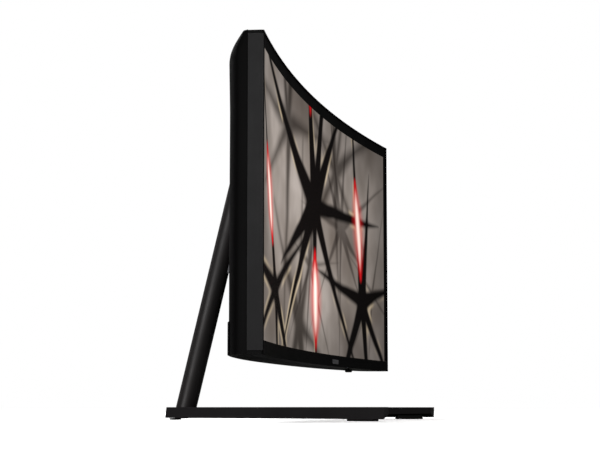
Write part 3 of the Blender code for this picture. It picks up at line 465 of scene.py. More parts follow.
def lit_screen():
    """Anti-glare display surface showing an abstract picture: a soft taupe haze, dark strands that
    meet in knots, blurred where they lie further back, and red streaks with white-hot cores."""
    n = Nodes()
    rng = np.random.default_rng(PICTURE_SEED)
    uv = n.add("ShaderNodeUVMap").outputs[0]
    flat = n.scaled(uv, (PICTURE_ASPECT, 1.0, 1.0))

    def bend(scale, amount, shift):
        warp = n.add("ShaderNodeTexNoise")
        n.put(warp.inputs["Vector"], n.scaled(flat, shift=shift))
        n.put(warp.inputs["Scale"], scale)
        n.put(warp.inputs["Detail"], 2.0)
        centred = n.vector("SUBTRACT", warp.outputs["Color"], (0.5, 0.5, 0.5))
        moved = n.vector("ADD", flat, n.vector("MULTIPLY", centred, (amount, amount * 0.4, 0.0)))
        return n.vector("MULTIPLY", moved, (1.0, 1.0, 0.0))

    def web(place, rays, join_width):
        total = None
        for start, end, thick, thin in rays:
            gap, share = near_segment(n, place, start, end)
            taper = n.math("POWER", n.math("SUBTRACT", 1.0, share), 2.2)
            point = n.math("MULTIPLY", n.math("POWER", share, 6.0), -thin)
            width = n.math("ADD", n.math("MULTIPLY_ADD", taper, thick - thin, thin), point)
            edge = n.math("SUBTRACT", gap, width)
            total = edge if total is None else n.math("SMOOTH_MIN", total, edge, join_width)
        return total

    def filled(edge, soft, grown=0.0):
        return n.span(edge, grown - soft, grown + soft, 1.0, 0.0, smooth=True)

    front_rays = [ray for knot in FRONT_KNOTS for ray in knot_rays(rng, *knot)]
    back_rays = [ray for knot in BACK_KNOTS for ray in knot_rays(rng, *knot)]
    bent = bend(2.3, 0.06, (0.0, 0.0, 0.0))
    front_web = web(bent, front_rays, 0.035)
    front = filled(front_web, 0.013)
    front_edge = filled(front_web, 0.016, 0.014)
    back = filled(web(bend(1.7, 0.12, (5.0, 3.0, 0.0)), back_rays, 0.030), 0.036)
    small = n.scaled(bent, (-1.5, 1.6, 1.0), (3.6, -0.3, 0.0))
    threads = filled(web(small, front_rays, 0.020), 0.020, -0.010)
    lit_part = n.noise(n.scaled(flat, shift=(2.0, 7.0, 0.0)), 3.0, 1.0, 0.5)

    haze = n.noise(flat, 1.3, 3.0, 0.5)
    mottle = n.noise(n.scaled(flat, shift=(3.0, 1.0, 0.0)), 4.5, 2.0, 0.5)
    ground = n.mix(n.span(haze, 0.30, 0.62, smooth=True), HAZE_DARK, HAZE_LIGHT)
    ground = n.mix(n.span(mottle, 0.38, 0.72, 0.0, 0.55), ground, MOTTLE)
    picture = n.mix(n.math("MULTIPLY", back, 0.80), ground, FAR_STRAND)
    picture = n.mix(n.math("MULTIPLY", threads, 0.62), picture, THREAD)
    rim_lit = n.span(lit_part, 0.52, 0.66, smooth=True)
    rim = n.math("MULTIPLY", n.math("SUBTRACT", front_edge, front), rim_lit)
    picture = n.mix(n.math("MULTIPLY", rim, 0.9, clamp=True), picture, RIM_LIGHT)
    picture = n.mix(front, picture, NEAR_STRAND)

    for index, low, high, reach in GLOWS:
        start, end = np.array(front_rays[index][0]), np.array(front_rays[index][1])
        gap, share = near_segment(n, bent, start + (end - start) * low, start + (end - start) * high)
        swell = n.math("SINE", n.math("MULTIPLY_ADD", share, 2.6, 0.27))
        reached = n.math("MULTIPLY", swell, reach)
        close = n.math("DIVIDE", gap, reached)
        halo = n.math("POWER", n.span(close, 0.0, 1.0, 1.0, 0.0), 1.5)
        core = n.span(close, 0.0, 0.42, 1.0, 0.0, smooth=True)
        core = n.math("MULTIPLY", core, n.span(swell, 0.35, 0.95, smooth=True))
        picture = n.mix(n.math("MULTIPLY", halo, 0.97), picture, GLOW_RED)
        picture = n.mix(core, picture, GLOW_CORE)

    split = n.add("ShaderNodeSeparateXYZ")
    n.put(split.inputs[0], uv)
    across, up = (n.math("PINGPONG", split.outputs[axis], 0.5) for axis in ("X", "Y"))
    edge = n.math("MINIMUM", n.math("MULTIPLY", across, PICTURE_ASPECT), up)
    vignette = n.span(edge, 0.0, 0.30, 0.60, 1.0, smooth=True)
    grit = n.noise(n.at, 5200.0, 2.0, 0.6)
    dusk = n.span(split.outputs["X"], 0.45, 1.0, 1.0, 0.62, smooth=True)
    sparkle = n.span(grit, 0.2, 0.8, 0.95, 1.05)
    strength = n.math("MULTIPLY", n.math("MULTIPLY", vignette, dusk), sparkle)
    return n.set(
        Base_Color=(0.0015, 0.0015, 0.0017),
        Roughness=n.span(grit, 0.3, 0.7, 0.40, 0.50),
        Specular_IOR_Level=0.08,
        Emission_Color=picture,
        Emission_Strength=strength,
        Normal=n.bump(grit, 0.00001, 0.5),
    )


FINISH = {
    "bezel_plastic": moulded((0.0028, 0.0026, 0.0028), 0.42, specular=0.06),
    "border_glass": black_glass(),
    "lit_screen": lit_screen(),
    "optical_film": sheet((0.80, 0.82, 0.85), 0.4),
    "acrylic": sheet((0.78, 0.86, 0.88), 0.12, 0.6),
    "zinc_steel": brushed((0.52, 0.53, 0.54), 0.38, (500.0, 40.0, 500.0)),
    "frame_plastic": moulded((0.0062, 0.0059, 0.0063), 0.46, specular=0.12),
    "trim_satin": brushed((0.0165, 0.0155, 0.0165), 0.44, (700.0, 700.0, 5.0), 0.00001, 0.35),
    "badge_metal": brushed((0.30, 0.30, 0.31), 0.45, (30.0, 30.0, 1400.0), 0.00001, 0.3),
    "lamp_lens": lamp_lens(),
    "circuit_board": circuit(),
    "inner_plastic": moulded((0.012, 0.012, 0.0125), 0.55, 1600.0),
    "connector_metal": brushed((0.46, 0.46, 0.47), 0.3, (600.0, 60.0, 600.0)),
    "cover_plastic": moulded((0.0033, 0.0030, 0.0032), 0.50, 1900.0, 0.00004, 0.06),
    "black_steel": painted((0.014, 0.014, 0.015), 0.42, 0.4),
    "black_screw": brushed((0.05, 0.05, 0.055), 0.34, (900.0, 60.0, 900.0)),
    "washer_brass": brushed((0.60, 0.44, 0.17), 0.33, (60.0, 900.0, 900.0)),
    "cast_alloy": cast((0.16, 0.16, 0.17), 0.5),
    "nylon": moulded((0.66, 0.65, 0.60), 0.42, 1500.0),
    "spring_steel": brushed((0.42, 0.43, 0.46), 0.22, (900.0, 20.0, 20.0)),
    "pole_paint": painted((0.036, 0.0325, 0.0325), 0.44, 0.35, 0.10),
    "foot_paint": painted((0.024, 0.0215, 0.023), 0.42, 0.25, 0.05),
    "rubber": rubber((0.016, 0.016, 0.016)),
}
for slot, finish in FINISH.items():
    finish.name = slot + "_look"
SLOT_OF = {entry["node"]: entry["material_slot"] for entry in frame["record"]["subparts"]}
BODY_OF = {node: body for body, nodes in frame["record"]["behaviour"]["bodies"].items() for node in nodes}


# Mesh helpers


def placed(name, data):
    """A new object in the scene."""
    obj = bpy.data.objects.new(name, data)
    bpy.context.scene.collection.objects.link(obj)
    return obj


def mesh_object(name, points, faces):
    mesh = bpy.data.meshes.new(name)
    mesh.from_pydata([tuple(map(float, p)) for p in points], [], [tuple(f) for f in faces])
    work = bmesh.new()
    work.from_mesh(mesh)
    loose = [v for v in work.verts if not v.link_faces]
    bmesh.ops.delete(work, geom=loose, context="VERTS")
    bmesh.ops.recalc_face_normals(work, faces=work.faces)
    if work.calc_volume(signed=True) < 0:
        bmesh.ops.reverse_faces(work, faces=work.faces)
    work.to_mesh(mesh)
    work.free()
    return placed(name, mesh)


def carve(obj, operation, *others):
    """Cuts or joins other meshes, keeps the result and removes them."""
    for other in others:
        modifier = obj.modifiers.new(other.name, "BOOLEAN")
        modifier.operation = operation
        modifier.solver = "EXACT"
        modifier.object = other
    graph = bpy.context.evaluated_depsgraph_get()
    mesh = bpy.data.meshes.new_from_object(obj.evaluated_get(graph))
    obj.modifiers.clear()
    obj.data = mesh
    for other in others:
        bpy.data.objects.remove(other, do_unlink=True)
    return obj


def cut(obj, *others):
    return carve(obj, "DIFFERENCE", *others)


def join(obj, *others):
    return carve(obj, "UNION", *others)


def loft(name, rings):
    """Closed rings of equal length skinned one after the other, with both ends filled."""
    count = len(rings[0])
    points = [p for ring in rings for p in ring]
    faces = []
    for row in range(len(rings) - 1):
        for i in range(count):
            j = (i + 1) % count
            low = row * count
            faces.append((low + i, low + j, low + count + j, low + count + i))
    faces.append(tuple(range(count)))
    faces.append(tuple(range((len(rings) - 1) * count, len(rings) * count)))
    return mesh_object(name, points, faces)


def box(name, low, high):
    corners = ((0, 0), (1, 0), (1, 1), (0, 1))
    ends = (low, high)
    return loft(name, [[(ends[i][0], ends[j][1], ends[k][2]) for i, j in corners] for k in (0, 1)])


def turned(name, start, axis, profile, steps=64):
    """A solid of revolution from (distance along the axis, radius) pairs."""
    axis = Vector(axis).normalized()
    side = Vector((1.0, 0.0, 0.0)) if abs(axis.x) < 0.9 else Vector((0.0, 1.0, 0.0))
    first = (side - axis * side.dot(axis)).normalized()
    second = axis.cross(first)
    rings = []
    for along, radius in profile:
        ring = []
        for i in range(steps):
            turn = 2 * math.pi * i / steps
            spoke = first * math.cos(turn) + second * math.sin(turn)
            ring.append(Vector(start) + axis * along + spoke * radius)
        rings.append(ring)
    return loft(name, rings)


def rod(name, start, axis, length, radius, steps=64):
    return turned(name, start, axis, ((0, radius), (length, radius)), steps)


def rounded(half_a, half_b, radius, steps=10):
    """A rounded rectangle's outline around (0, 0)."""
    points = []
    for sign_a, sign_b, start in ((1, 1, 0), (-1, 1, 90), (-1, -1, 180), (1, -1, 270)):
        for i in range(steps + 1):
            turn = math.radians(start + 90 * i / steps)
            a = sign_a * (half_a - radius) + radius * math.cos(turn)
            b = sign_b * (half_b - radius) + radius * math.sin(turn)
            points.append((a, b))
    return points


def slab_y(name, outline, centre, y_low, y_high):
    return loft(name, [[(centre[0] + x, y, centre[1] + z) for x, z in outline] for y in (y_low, y_high)])


def slab_z(name, outline, centre, z_low, z_high):
    return loft(name, [[(centre[0] + x, centre[1] + y, z) for x, y in outline] for z in (z_low, z_high)])


def on_arc(s, depth, z):
    """A point so far along the bent front, so far behind it, at a height."""
    angle = s / RADIUS
    reach = RADIUS + depth
    return (reach * math.sin(angle), ARC_CENTRE_Y + reach * math.cos(angle), z)


def arc_y(x, depth):
    return ARC_CENTRE_Y + math.sqrt((RADIUS + depth) ** 2 - x**2)


def spread(*stops, columns=ARC_COLUMNS):
    """Grid lines through the given stops, with even ones filled in between where they are far apart."""
    stops = sorted(stops)
    step = (stops[-1] - stops[0]) / columns
    lines = [stops[0]]
    for a, b in zip(stops, stops[1:]):
        count = max(1, round((b - a) / step))
        lines.extend(a + (b - a) * i / count for i in range(1, count + 1))
    return lines


def arc_plate(name, columns, rows, depths, keep=lambda s, z: True):
    """A bent plate made of the cells of a grid whose middle passes keep(s, z)."""
    width = len(columns)
    layer = width * len(rows)
    points = [on_arc(s, depth, z) for depth in depths for z in rows for s in columns]
    kept = set()
    for i in range(width - 1):
        for j in range(len(rows) - 1):
            if keep((columns[i] + columns[i + 1]) / 2, (rows[j] + rows[j + 1]) / 2):
                kept.add((i, j))
    faces = []
    for i, j in sorted(kept):
        ring = [j * width + i, j * width + i + 1, (j + 1) * width + i + 1, (j + 1) * width + i]
        faces.append(tuple(ring))
        faces.append(tuple(p + layer for p in reversed(ring)))
        for (di, dj), (a, b) in (((0, -1), (0, 1)), ((1, 0), (1, 2)), ((0, 1), (2, 3)), ((-1, 0), (3, 0))):
            if (i + di, j + dj) not in kept:
                faces.append((ring[b], ring[a], ring[a] + layer, ring[b] + layer))
    return mesh_object(name, points, faces)


def dress(obj, *nodes, bevel=0.0, segments=3, sharp=35, look=None):
    """Finishes a mesh, softens its edges, hangs it on its body and hides the CAD nodes it stands for."""
    slot = SLOT_OF[nodes[0]]
    obj.data.materials.clear()
    obj.data.materials.append(look or FINISH[slot])
    obj.data.shade_smooth()
    obj.data.set_sharp_from_angle(angle=math.radians(sharp))
    if bevel:
        modifier = obj.modifiers.new("edges", "BEVEL")
        modifier.width = bevel
        modifier.segments = segments
        modifier.limit_method = "ANGLE"
        modifier.angle_limit = math.radians(sharp)
        modifier.harden_normals = True
        modifier.miter_outer = "MITER_ARC"
    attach(obj, BODY_OF[nodes[0]])
    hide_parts(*nodes)
    return obj


# Head, front


def build_front():
    edge = HALF_ARC
    notch = edge - TRIM_NOTCH
    columns = spread(-edge, -notch, LIP - edge, edge - LIP, notch, edge)
    ends = (BOTTOM_Z + TRIM_END, TOP_Z - TRIM_END)
    rows = spread(BOTTOM_Z, ends[0], BOTTOM_Z + CHIN, ends[1], TOP_Z - LIP, TOP_Z, columns=14)

    def in_bezel(s, z):
        in_rim = abs(s) > edge - LIP or z < BOTTOM_Z + CHIN or z > TOP_Z - LIP
        return in_rim and not (abs(s) > notch and ends[0] < z < ends[1])

    bezel = arc_plate("front_bezel_fine", columns, rows, (0.0, BEZEL_DEPTH), in_bezel)
    dress(bezel, "front_bezel", bevel=0.0006)

    inset = LIP + 0.0002
    outer = edge - inset
    inner = edge - BORDER
    low = BOTTOM_Z + CHIN + 0.0002
    window = (low + 0.0004, TOP_Z - BORDER_TOP)
    mask = arc_plate(
        "border_mask_fine",
        spread(-outer, -inner, inner, outer),
        spread(low, window[0], window[1], TOP_Z - inset, columns=14),
        MASK_DEPTHS,
        lambda s, z: abs(s) > inner or not window[0] < z < window[1],
    )
    dress(mask, "border_mask", bevel=0.00006, segments=1)

    reach = edge - LIP - 0.0010
    cell = arc_plate(
        "lcd_cell_fine",
        spread(-reach, -inner, inner, reach),
        spread(BOTTOM_Z + CHIN - 0.0032, window[0], window[1], TOP_Z - 0.0032, columns=14),
        CELL_DEPTHS,
    )
    layer = cell.data.uv_layers.new(name="picture")
    for loop in cell.data.loops:
        point = cell.data.vertices[loop.vertex_index].co
        s = math.atan2(point.x, point.y - ARC_CENTRE_Y) * RADIUS
        across = (s + inner) / (2 * inner)
        up = (point.z - window[0]) / (window[1] - window[0])
        layer.data[loop.index].uv = (across, up)
    dress(cell, "lcd_cell")

    heights = [BOTTOM_Z + z for z in BADGE_HEIGHTS]
    badge = arc_plate("chin_badge_fine", spread(*BADGE_SPAN, columns=6), heights, BADGE_DEPTHS)
    dress(badge, "chin_badge", bevel=0.00015)


def build_frame():
    edge = HALF_ARC
    wall = FRAME_WALL
    notch = TRIM_NOTCH
    low, high = BOTTOM_Z, TOP_Z
    columns = spread(-edge, notch - edge, wall - edge, edge - wall, edge - notch, edge)
    rows = spread(low, low + wall, low + TRIM_END, high - TRIM_END, high - wall, high, columns=14)

    def keep(s, z):
        in_notch = abs(s) > edge - notch and low + TRIM_END < z < high - TRIM_END
        in_room = abs(s) < edge - wall and low + wall < z < high - wall
        return not in_notch and not in_room

    ring = arc_plate("mid_frame_fine", columns, rows, (0.0018, FRAME_DEPTH), keep)
    stick = (STICK_X, arc_y(STICK_X, STICK_DEPTH), low - 0.004)
    hole = rod("stick_hole", stick, (0, 0, 1), 0.008, 0.0042, 48)
    lens_spot = [STICK_X + s for s in LAMP_FROM_STICK]
    hole_spot = [lens_spot[0] - 0.0003, lens_spot[1] + 0.0003]
    lens_hole = arc_plate("light_hole", hole_spot, [low - 0.001, low + 0.003], (0.0043, 0.0061))
    cut(ring, hole, lens_hole)
    dress(ring, "mid_frame", bevel=0.0005)
    lens = arc_plate("power_light_fine", lens_spot, [low + 0.0001, low + 0.0024], LENS_DEPTHS)
    dress(lens, "power_light", bevel=0.0002)

    for side, sign in SIDES:
        ends = sorted((sign * (edge - 0.0010), sign * (edge + TRIM_PROUD)))
        rows = spread(low + 0.0040, high - 0.0040, columns=10)
        trim = arc_plate("side_trim_%s_fine" % side, ends, rows, (0.0002, FRAME_DEPTH))
        dress(trim, "side_trim_" + side, bevel=0.00045)


# Head, back


def smooth_plan(steps):
    """Half of the rear outline as (x, y), from the middle to the side."""
    knots = np.array([COVER_PLAN_X, COVER_PLAN_Y]).T
    mirrored = np.vstack([knots[1] * (-1, 1), knots, 2 * knots[-1] - knots[-2]])
    spans = len(knots) - 1
    points = []
    for step in range(steps + 1):
        share = step / steps
        place = (1 - (1 - share) ** 1.25) * spans
        i = min(int(place), spans - 1)
        t = place - i
        p0, p1, p2, p3 = mirrored[i : i + 4]
        d01 = np.linalg.norm(p1 - p0) ** 0.5
        d12 = np.linalg.norm(p2 - p1) ** 0.5
        d23 = np.linalg.norm(p3 - p2) ** 0.5
        m1 = (p2 - p1) + d12 * ((p1 - p0) / d01 - (p2 - p0) / (d01 + d12))
        m2 = (p2 - p1) + d12 * ((p3 - p2) / d23 - (p3 - p1) / (d12 + d23))
        a = 2 * (p1 - p2) + m1 + m2
        b = -3 * (p1 - p2) - 2 * m1 - m2
        points.append(a * t**3 + b * t**2 + m1 * t + p1)
    return np.array(points)


def cover_rows(inset, steps=64):
    half = smooth_plan(steps)
    plan = np.vstack([half[:0:-1] * (-1, 1), half])
    low, high = BOTTOM_Z + inset, COVER_TOP_Z - inset
    round_start = COVER_TOP_Z - COVER_TOP_ROUND
    lower = np.append(np.linspace(low, FLARE_START_Z, 12), np.linspace(FLARE_START_Z, round_start, 5)[1:])
    turn = np.linspace(0, math.pi / 2, 21)[1:]
    heights = np.concatenate([lower, round_start + (high - round_start) * np.sin(turn)])
    flare = 1 + COVER_FLARE * np.clip((lower - FLARE_START_Z) / (round_start - FLARE_START_Z), 0, 1)
    rounding = COVER_TOP_DEPTH + (1 - COVER_TOP_DEPTH) * np.cos(turn) ** 2
    fullness = np.concatenate([flare, flare[-1] * rounding])
    shrink = 1 - inset / (HALF_WIDTH - 0.0005)
    rows = [[(x, arc_y(x, COVER_START), low) for x, _ in plan * (shrink, 1)]]
    for z, full in zip(heights, fullness):
        row = []
        for x, y in plan:
            rim = arc_y(x, COVER_START)
            row.append((x * shrink, rim + max((y - rim) * full - inset, 0.0), z))
        rows.append(row)
    rows.append([(x * shrink, arc_y(x, COVER_START), high) for x, _ in plan])
    return rows


def port_bay():
    return slab_y("port_bay", rounded(0.0545, 0.0149, 0.003, 6), PORT_BAY, -0.030, 0.050)


def build_cover():
    outer = cover_rows(0.0)
    inner = cover_rows(COVER_WALL)
    rows, columns = len(outer), len(outer[0])
    points = [p for grid in (outer, inner) for row in grid for p in row]
    shift = rows * columns
    faces = []
    for r in range(rows - 1):
        for c in range(columns - 1):
            a = r * columns + c
            quad = (a, a + 1, a + columns + 1, a + columns)
            faces += [quad, tuple(i + shift for i in quad)]
    border = [(0, c) for c in range(columns)] + [(r, columns - 1) for r in range(1, rows)]
    border += [(rows - 1, c) for c in range(columns - 2, -1, -1)] + [(r, 0) for r in range(rows - 2, 0, -1)]
    for i, (r, c) in enumerate(border):
        r2, c2 = border[(i + 1) % len(border)]
        a, b = r * columns + c, r2 * columns + c2
        faces.append((a, b, b + shift, a + shift))
    cover = mesh_object("rear_cover_fine", points, faces)
    cutters = [
        slab_y("mount_opening", rounded(0.066, 0.058, 0.010), (0.0, MOUNT_Z), -0.02, 0.05),
        port_bay(),
        slab_y("lock_slot", rounded(0.0035, 0.0015, 0.0012, 4), (0.260, 0.1505), -0.02, 0.05),
    ]
    vent = rounded(0.0095, 0.0015, 0.00145, 4)
    for z in VENT_ROWS_Z:
        for i in range(VENT_COUNT):
            for sign in (-1, 1):
                cutters.append(slab_y("vent", vent, (sign * (0.045 + VENT_STEP * i), z), -0.02, 0.05))
    cut(cover, *cutters)
    dress(cover, "rear_cover", sharp=40)


def build_skirt():
    half = smooth_plan(64)
    half = half[half[:, 0] < 0.398]
    plan = np.vstack([half[:0:-1] * (-1, 1), half])
    slope = np.gradient(plan[:, 1], plan[:, 0])
    size = np.hypot(1, slope)
    rings = []
    for (x, y), nx, ny in zip(plan, -slope / size, 1 / size):
        corners = ((0.0003, 0.0006), (0.0015, 0.0006), (0.0015, SKIRT_HEIGHT), (0.0003, SKIRT_HEIGHT))
        rings.append([(x + nx * out, y + ny * out, BOTTOM_Z + z) for out, z in corners])
    skirt = loft("rear_skirt_fine", rings)
    cut(skirt, port_bay())
    dress(skirt, "rear_skirt", bevel=0.0003)


def build_back_details():
    cover = slab_y("mount_cover_fine", rounded(0.0656, 0.0576, 0.0096), (0.0, MOUNT_Z), 0.0098, 0.0118)
    cut(cover, slab_y("ear_opening", rounded(0.024, 0.020, 0.006), (0.0, HINGE_Z), 0.0, 0.03))
    dress(cover, "mount_cover", bevel=0.0005)

    recess = box("port_recess_fine", (-0.2065, -0.0200, 0.1060), (-0.0935, 0.0026, 0.1398))
    room = box("recess_room", (-0.2050, -0.0185, 0.1075), (-0.0950, 0.0500, 0.1383))
    ports = box("port_block_fine", (-0.200, -0.0170, 0.1402), (-0.100, 0.0005, 0.1560))
    mouths = []
    windows = [room]
    tongues = []
    for x, half in PORTS:
        mouth, window = rounded(half, 0.0030, 0.0009, 4), rounded(half + 0.001, 0.0040, 0.0012, 4)
        mouths.append(slab_z("mouth", mouth, (x, -0.0095), 0.1300, 0.1500))
        windows.append(slab_z("window", window, (x, -0.0095), 0.1300, 0.1500))
        tongues.append(box("tongue", (x - half * 0.7, -0.0102, 0.1420), (x + half * 0.7, -0.0088, 0.1510)))
    cut(recess, *windows)
    cut(ports, *mouths)
    join(ports, *tongues)
    dress(recess, "port_recess", bevel=0.0002)
    dress(ports, "port_block", bevel=0.0001)


# Neck


def build_neck():
    front = BRACKET_Y
    bracket = slab_y("tilt_bracket_fine", rounded(0.045, 0.045, 0.005), (0.0, MOUNT_Z), front, front + 0.003)
    ears = []
    for side, sign in SIDES:
        ear = []
        for x in sorted((sign * EAR_INNER_X, sign * EAR_OUTER_X)):
            ring = [(x, front + 0.001, HINGE_Z - 0.015), (x, HINGE_Y - 0.012, HINGE_Z - EAR_RADIUS)]
            for i in range(33):
                turn = math.radians(-90 + 180 * i / 32)
                y, z = EAR_RADIUS * math.cos(turn), EAR_RADIUS * math.sin(turn)
                ring.append((x, HINGE_Y + y, HINGE_Z + z))
            ring += [(x, HINGE_Y - 0.012, HINGE_Z + EAR_RADIUS), (x, front + 0.001, HINGE_Z + 0.015)]
            ear.append(ring)
        ears.append(loft("ear_" + side, ear))
    join(bracket, *ears)
    holes = [rod("ear_pin_hole", (-0.03, HINGE_Y, HINGE_Z), (1, 0, 0), 0.06, PIN_HOLE, 48)]
    for x, z in ((-1, -1), (1, -1), (1, 1), (-1, 1)):
        start = (x * MOUNT_SCREW, -0.004, MOUNT_Z + z * MOUNT_SCREW)
        holes.append(rod("screw_hole", start, (0, 1, 0), 0.02, 0.0024, 24))
    cut(bracket, *holes)
    dress(bracket, "tilt_bracket", bevel=0.0004)

    profile = (
        (0, 0.0056),
        (0.0004, 0.0063),
        (0.0010, 0.0066),
        (0.0034, 0.0066),
        (0.0036, 0.0064),
        (0.0036, 0.0040),
        (0.0462, 0.0040),
        (0.0476, 0.0032),
    )
    pin = turned("hinge_pin_fine", (-EAR_OUTER_X - 0.0039, HINGE_Y, HINGE_Z), (1, 0, 0), profile, 48)
    cut(pin, rod("pin_socket", (-EAR_OUTER_X - 0.0050, HINGE_Y, HINGE_Z), (1, 0, 0), 0.0032, 0.0030, 6))
    dress(pin, "hinge_pin", bevel=0.00015)
    nut = rod("hinge_nut_fine", (EAR_OUTER_X + 0.0003, HINGE_Y, HINGE_Z), (1, 0, 0), 0.0045, 0.0074, 6)
    cut(nut, rod("nut_hole", (0.0168, HINGE_Y, HINGE_Z), (1, 0, 0), 0.01, 0.0042, 48))
    dress(nut, "hinge_nut", bevel=0.0004)
    for side, sign in SIDES:
        start = sign * 0.0143
        washer = rod("hinge_washer_%s_fine" % side, (start, HINGE_Y, HINGE_Z), (sign, 0, 0), 0.0011, 0.0095)
        hole = rod("washer_hole", (start - sign * 0.001, HINGE_Y, HINGE_Z), (sign, 0, 0), 0.005, PIN_HOLE, 48)
        cut(washer, hole)
        dress(washer, "hinge_washer_" + side, bevel=0.0002)

    length = 0.068
    profile = (
        (0, 0.0084),
        (0.001, 0.0094),
        (0.008, 0.0094),
        (0.0083, 0.0112),
        (length - 0.0083, 0.0112),
        (length - 0.008, 0.0094),
        (length - 0.001, 0.0094),
        (length, 0.0084),
    )
    carriage = turned("carriage_fine", on_pole(0.157), POLE_AXIS, profile, 48)
    rear = (POLE_FOOT + POLE_AXIS * ((HINGE_Z - POLE_FOOT.z) / POLE_AXIS.z)).y
    web = box("neck_web", (-0.0047, HINGE_Y + 0.006, HINGE_Z - 0.010), (0.0047, rear, HINGE_Z + 0.010))
    knuckle = rod("neck_knuckle", (-0.014, HINGE_Y, HINGE_Z), (1, 0, 0), 0.028, 0.011, 48)
    join(carriage, web, knuckle)
    cut(carriage, rod("knuckle_hole", (-0.02, HINGE_Y, HINGE_Z), (1, 0, 0), 0.04, PIN_HOLE, 48))
    dress(carriage, "carriage", bevel=0.0004)

    outline = rounded(0.0165, 0.0165, 0.005)
    sleeve = slab_y("neck_cover_fine", outline, (0.0, HINGE_Z), HINGE_Y + 0.0135, 0.0785)
    cut(sleeve, slab_y("neck_room", rounded(0.0052, 0.0105, 0.001), (0.0, HINGE_Z), 0.04, 0.09))
    dress(sleeve, "neck_cover", bevel=0.0012, segments=4)


# Stand


def on_pole(along, across=0.0, back=0.0):
    return POLE_FOOT + POLE_AXIS * along + POLE_BACK * back + Vector((across, 0.0, 0.0))


def build_pole():
    start = -0.012
    bore_radius = POLE_RADIUS - POLE_WALL
    tube = rod("pole_tube_fine", on_pole(start), POLE_AXIS, POLE_LENGTH - start, POLE_RADIUS, 128)
    bore = rod("pole_bore", on_pole(start - 0.002), POLE_AXIS, POLE_LENGTH + 0.03, bore_radius, 128)
    foot = box("pole_foot_cut", (-0.05, 0.08, -0.05), (0.05, 0.22, POLE_SEAT_Z))
    rings = []
    for out in (-0.020, -0.004):
        ring = []
        for across, up in rounded(SLOT_WIDTH / 2, (SLOT_END - SLOT_START) / 2, SLOT_WIDTH / 2 - 0.0002, 12):
            ring.append(on_pole((SLOT_START + SLOT_END) / 2 + up, across, out))
        rings.append(ring)
    slot = loft("pole_slot", rings)
    axle_holes = rod("axle_holes", on_pole(DRUM_ALONG, -0.0176), (1, 0, 0), 0.0352, 0.0019, 32)
    cut(tube, bore, foot, slot, axle_holes)
    dress(tube, "pole_tube", bevel=0.0003)
    profile = (
        (-0.0030, bore_radius - 0.0003),
        (0.0003, bore_radius - 0.0003),
        (0.0003, POLE_RADIUS - 0.0002),
        (0.0005, POLE_RADIUS),
        (0.0020, POLE_RADIUS),
        (0.0027, POLE_RADIUS - 0.0003),
        (0.0032, POLE_RADIUS - 0.0008),
        (0.0034, POLE_RADIUS - 0.0016),
    )
    dress(turned("pole_cap_fine", on_pole(POLE_LENGTH), POLE_AXIS, profile, 96), "pole_cap")
    axle = rod("drum_axle_fine", on_pole(DRUM_ALONG, -0.0136), (1, 0, 0), 0.0272, 0.0016, 32)
    dress(axle, "drum_axle", bevel=0.0002)


def build_ribbon():
    """The lift spring's strip at one free length. On the stand the drum winds it up as the carriage rises, so
    its free length shrinks.
    """
    half = 0.0040
    rings = []
    for step in range(17):
        share = step / 16
        along = RIBBON_START + (RIBBON_END - RIBBON_START) * share
        reach = half * min(1.0, 0.6 + 6 * share)
        ring = []
        for across, out in ((-1, 0.0069), (0, 0.0070), (1, 0.0069), (1, 0.0071), (0, 0.0072), (-1, 0.0071)):
            ring.append(on_pole(along, across * reach, out))
        rings.append(ring)
    ribbon = dress(loft("spring_ribbon_fine", rings), "spring_ribbon")
    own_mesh(ribbon)


def foot_section(sign, place, inset, low, high, thick):
    run = TIP_OUTER_X - APEX_HALF
    rise = APEX_Y - TIP_Y
    if place == "tip":
        side = inset * math.hypot(run, rise) / rise
        lean = inset / rise * run
        outer = (sign * (TIP_OUTER_X - side - lean), TIP_Y + inset)
        inner = (sign * (TIP_INNER_X + side - lean), TIP_Y + inset)
        inner_bottom = FOOT_INNER_BOTTOM
        back = 0.0
    else:
        outer = (sign * (APEX_HALF - inset / 2), APEX_Y - inset)
        inner = (sign * (CROTCH_HALF + inset / 2), CROTCH_Y + inset)
        inner_bottom = FOOT_BOTTOM + 0.002
        back = APEX_Y - APEX_TOP_Y
    bottoms = (FOOT_BOTTOM + low, inner_bottom + low)
    tops = (high, high) if thick is None else (bottoms[0] + thick, bottoms[1] + thick)
    shares = [(z - FOOT_BOTTOM) / (FOOT_TOP - FOOT_BOTTOM) for z in (bottoms[0], tops[0])]
    return np.array((
        (outer[0], outer[1] - back * shares[0], bottoms[0]),
        (outer[0], outer[1] - back * shares[1], tops[0]),
        (*inner, tops[1]),
        (*inner, bottoms[1]),
    ))


def foot_rings(inset, low, high=None, thick=None, steps=12):
    """Sections of the V from the left tip round the apex to the right tip."""
    legs = []
    for sign in (-1, 1):
        tip = foot_section(sign, "tip", inset, low, high, thick)
        apex = foot_section(sign, "apex", inset, low, high, thick)
        legs.append([tip + (apex - tip) * i / steps for i in range(steps + 1)])
    return legs[0] + legs[1][::-1]


def leg_point(sign, along, across):
    outer = (TIP_OUTER_X + (APEX_HALF - TIP_OUTER_X) * along, TIP_Y + (APEX_Y - TIP_Y) * along)
    inner = (TIP_INNER_X + (CROTCH_HALF - TIP_INNER_X) * along, TIP_Y + (CROTCH_Y - TIP_Y) * along)
    inner_bottom = FOOT_INNER_BOTTOM + (FOOT_BOTTOM + 0.002 - FOOT_INNER_BOTTOM) * along
    x = outer[0] + (inner[0] - outer[0]) * across
    y = outer[1] + (inner[1] - outer[1]) * across
    return sign * x, y, FOOT_BOTTOM + (inner_bottom - FOOT_BOTTOM) * across - 0.0006


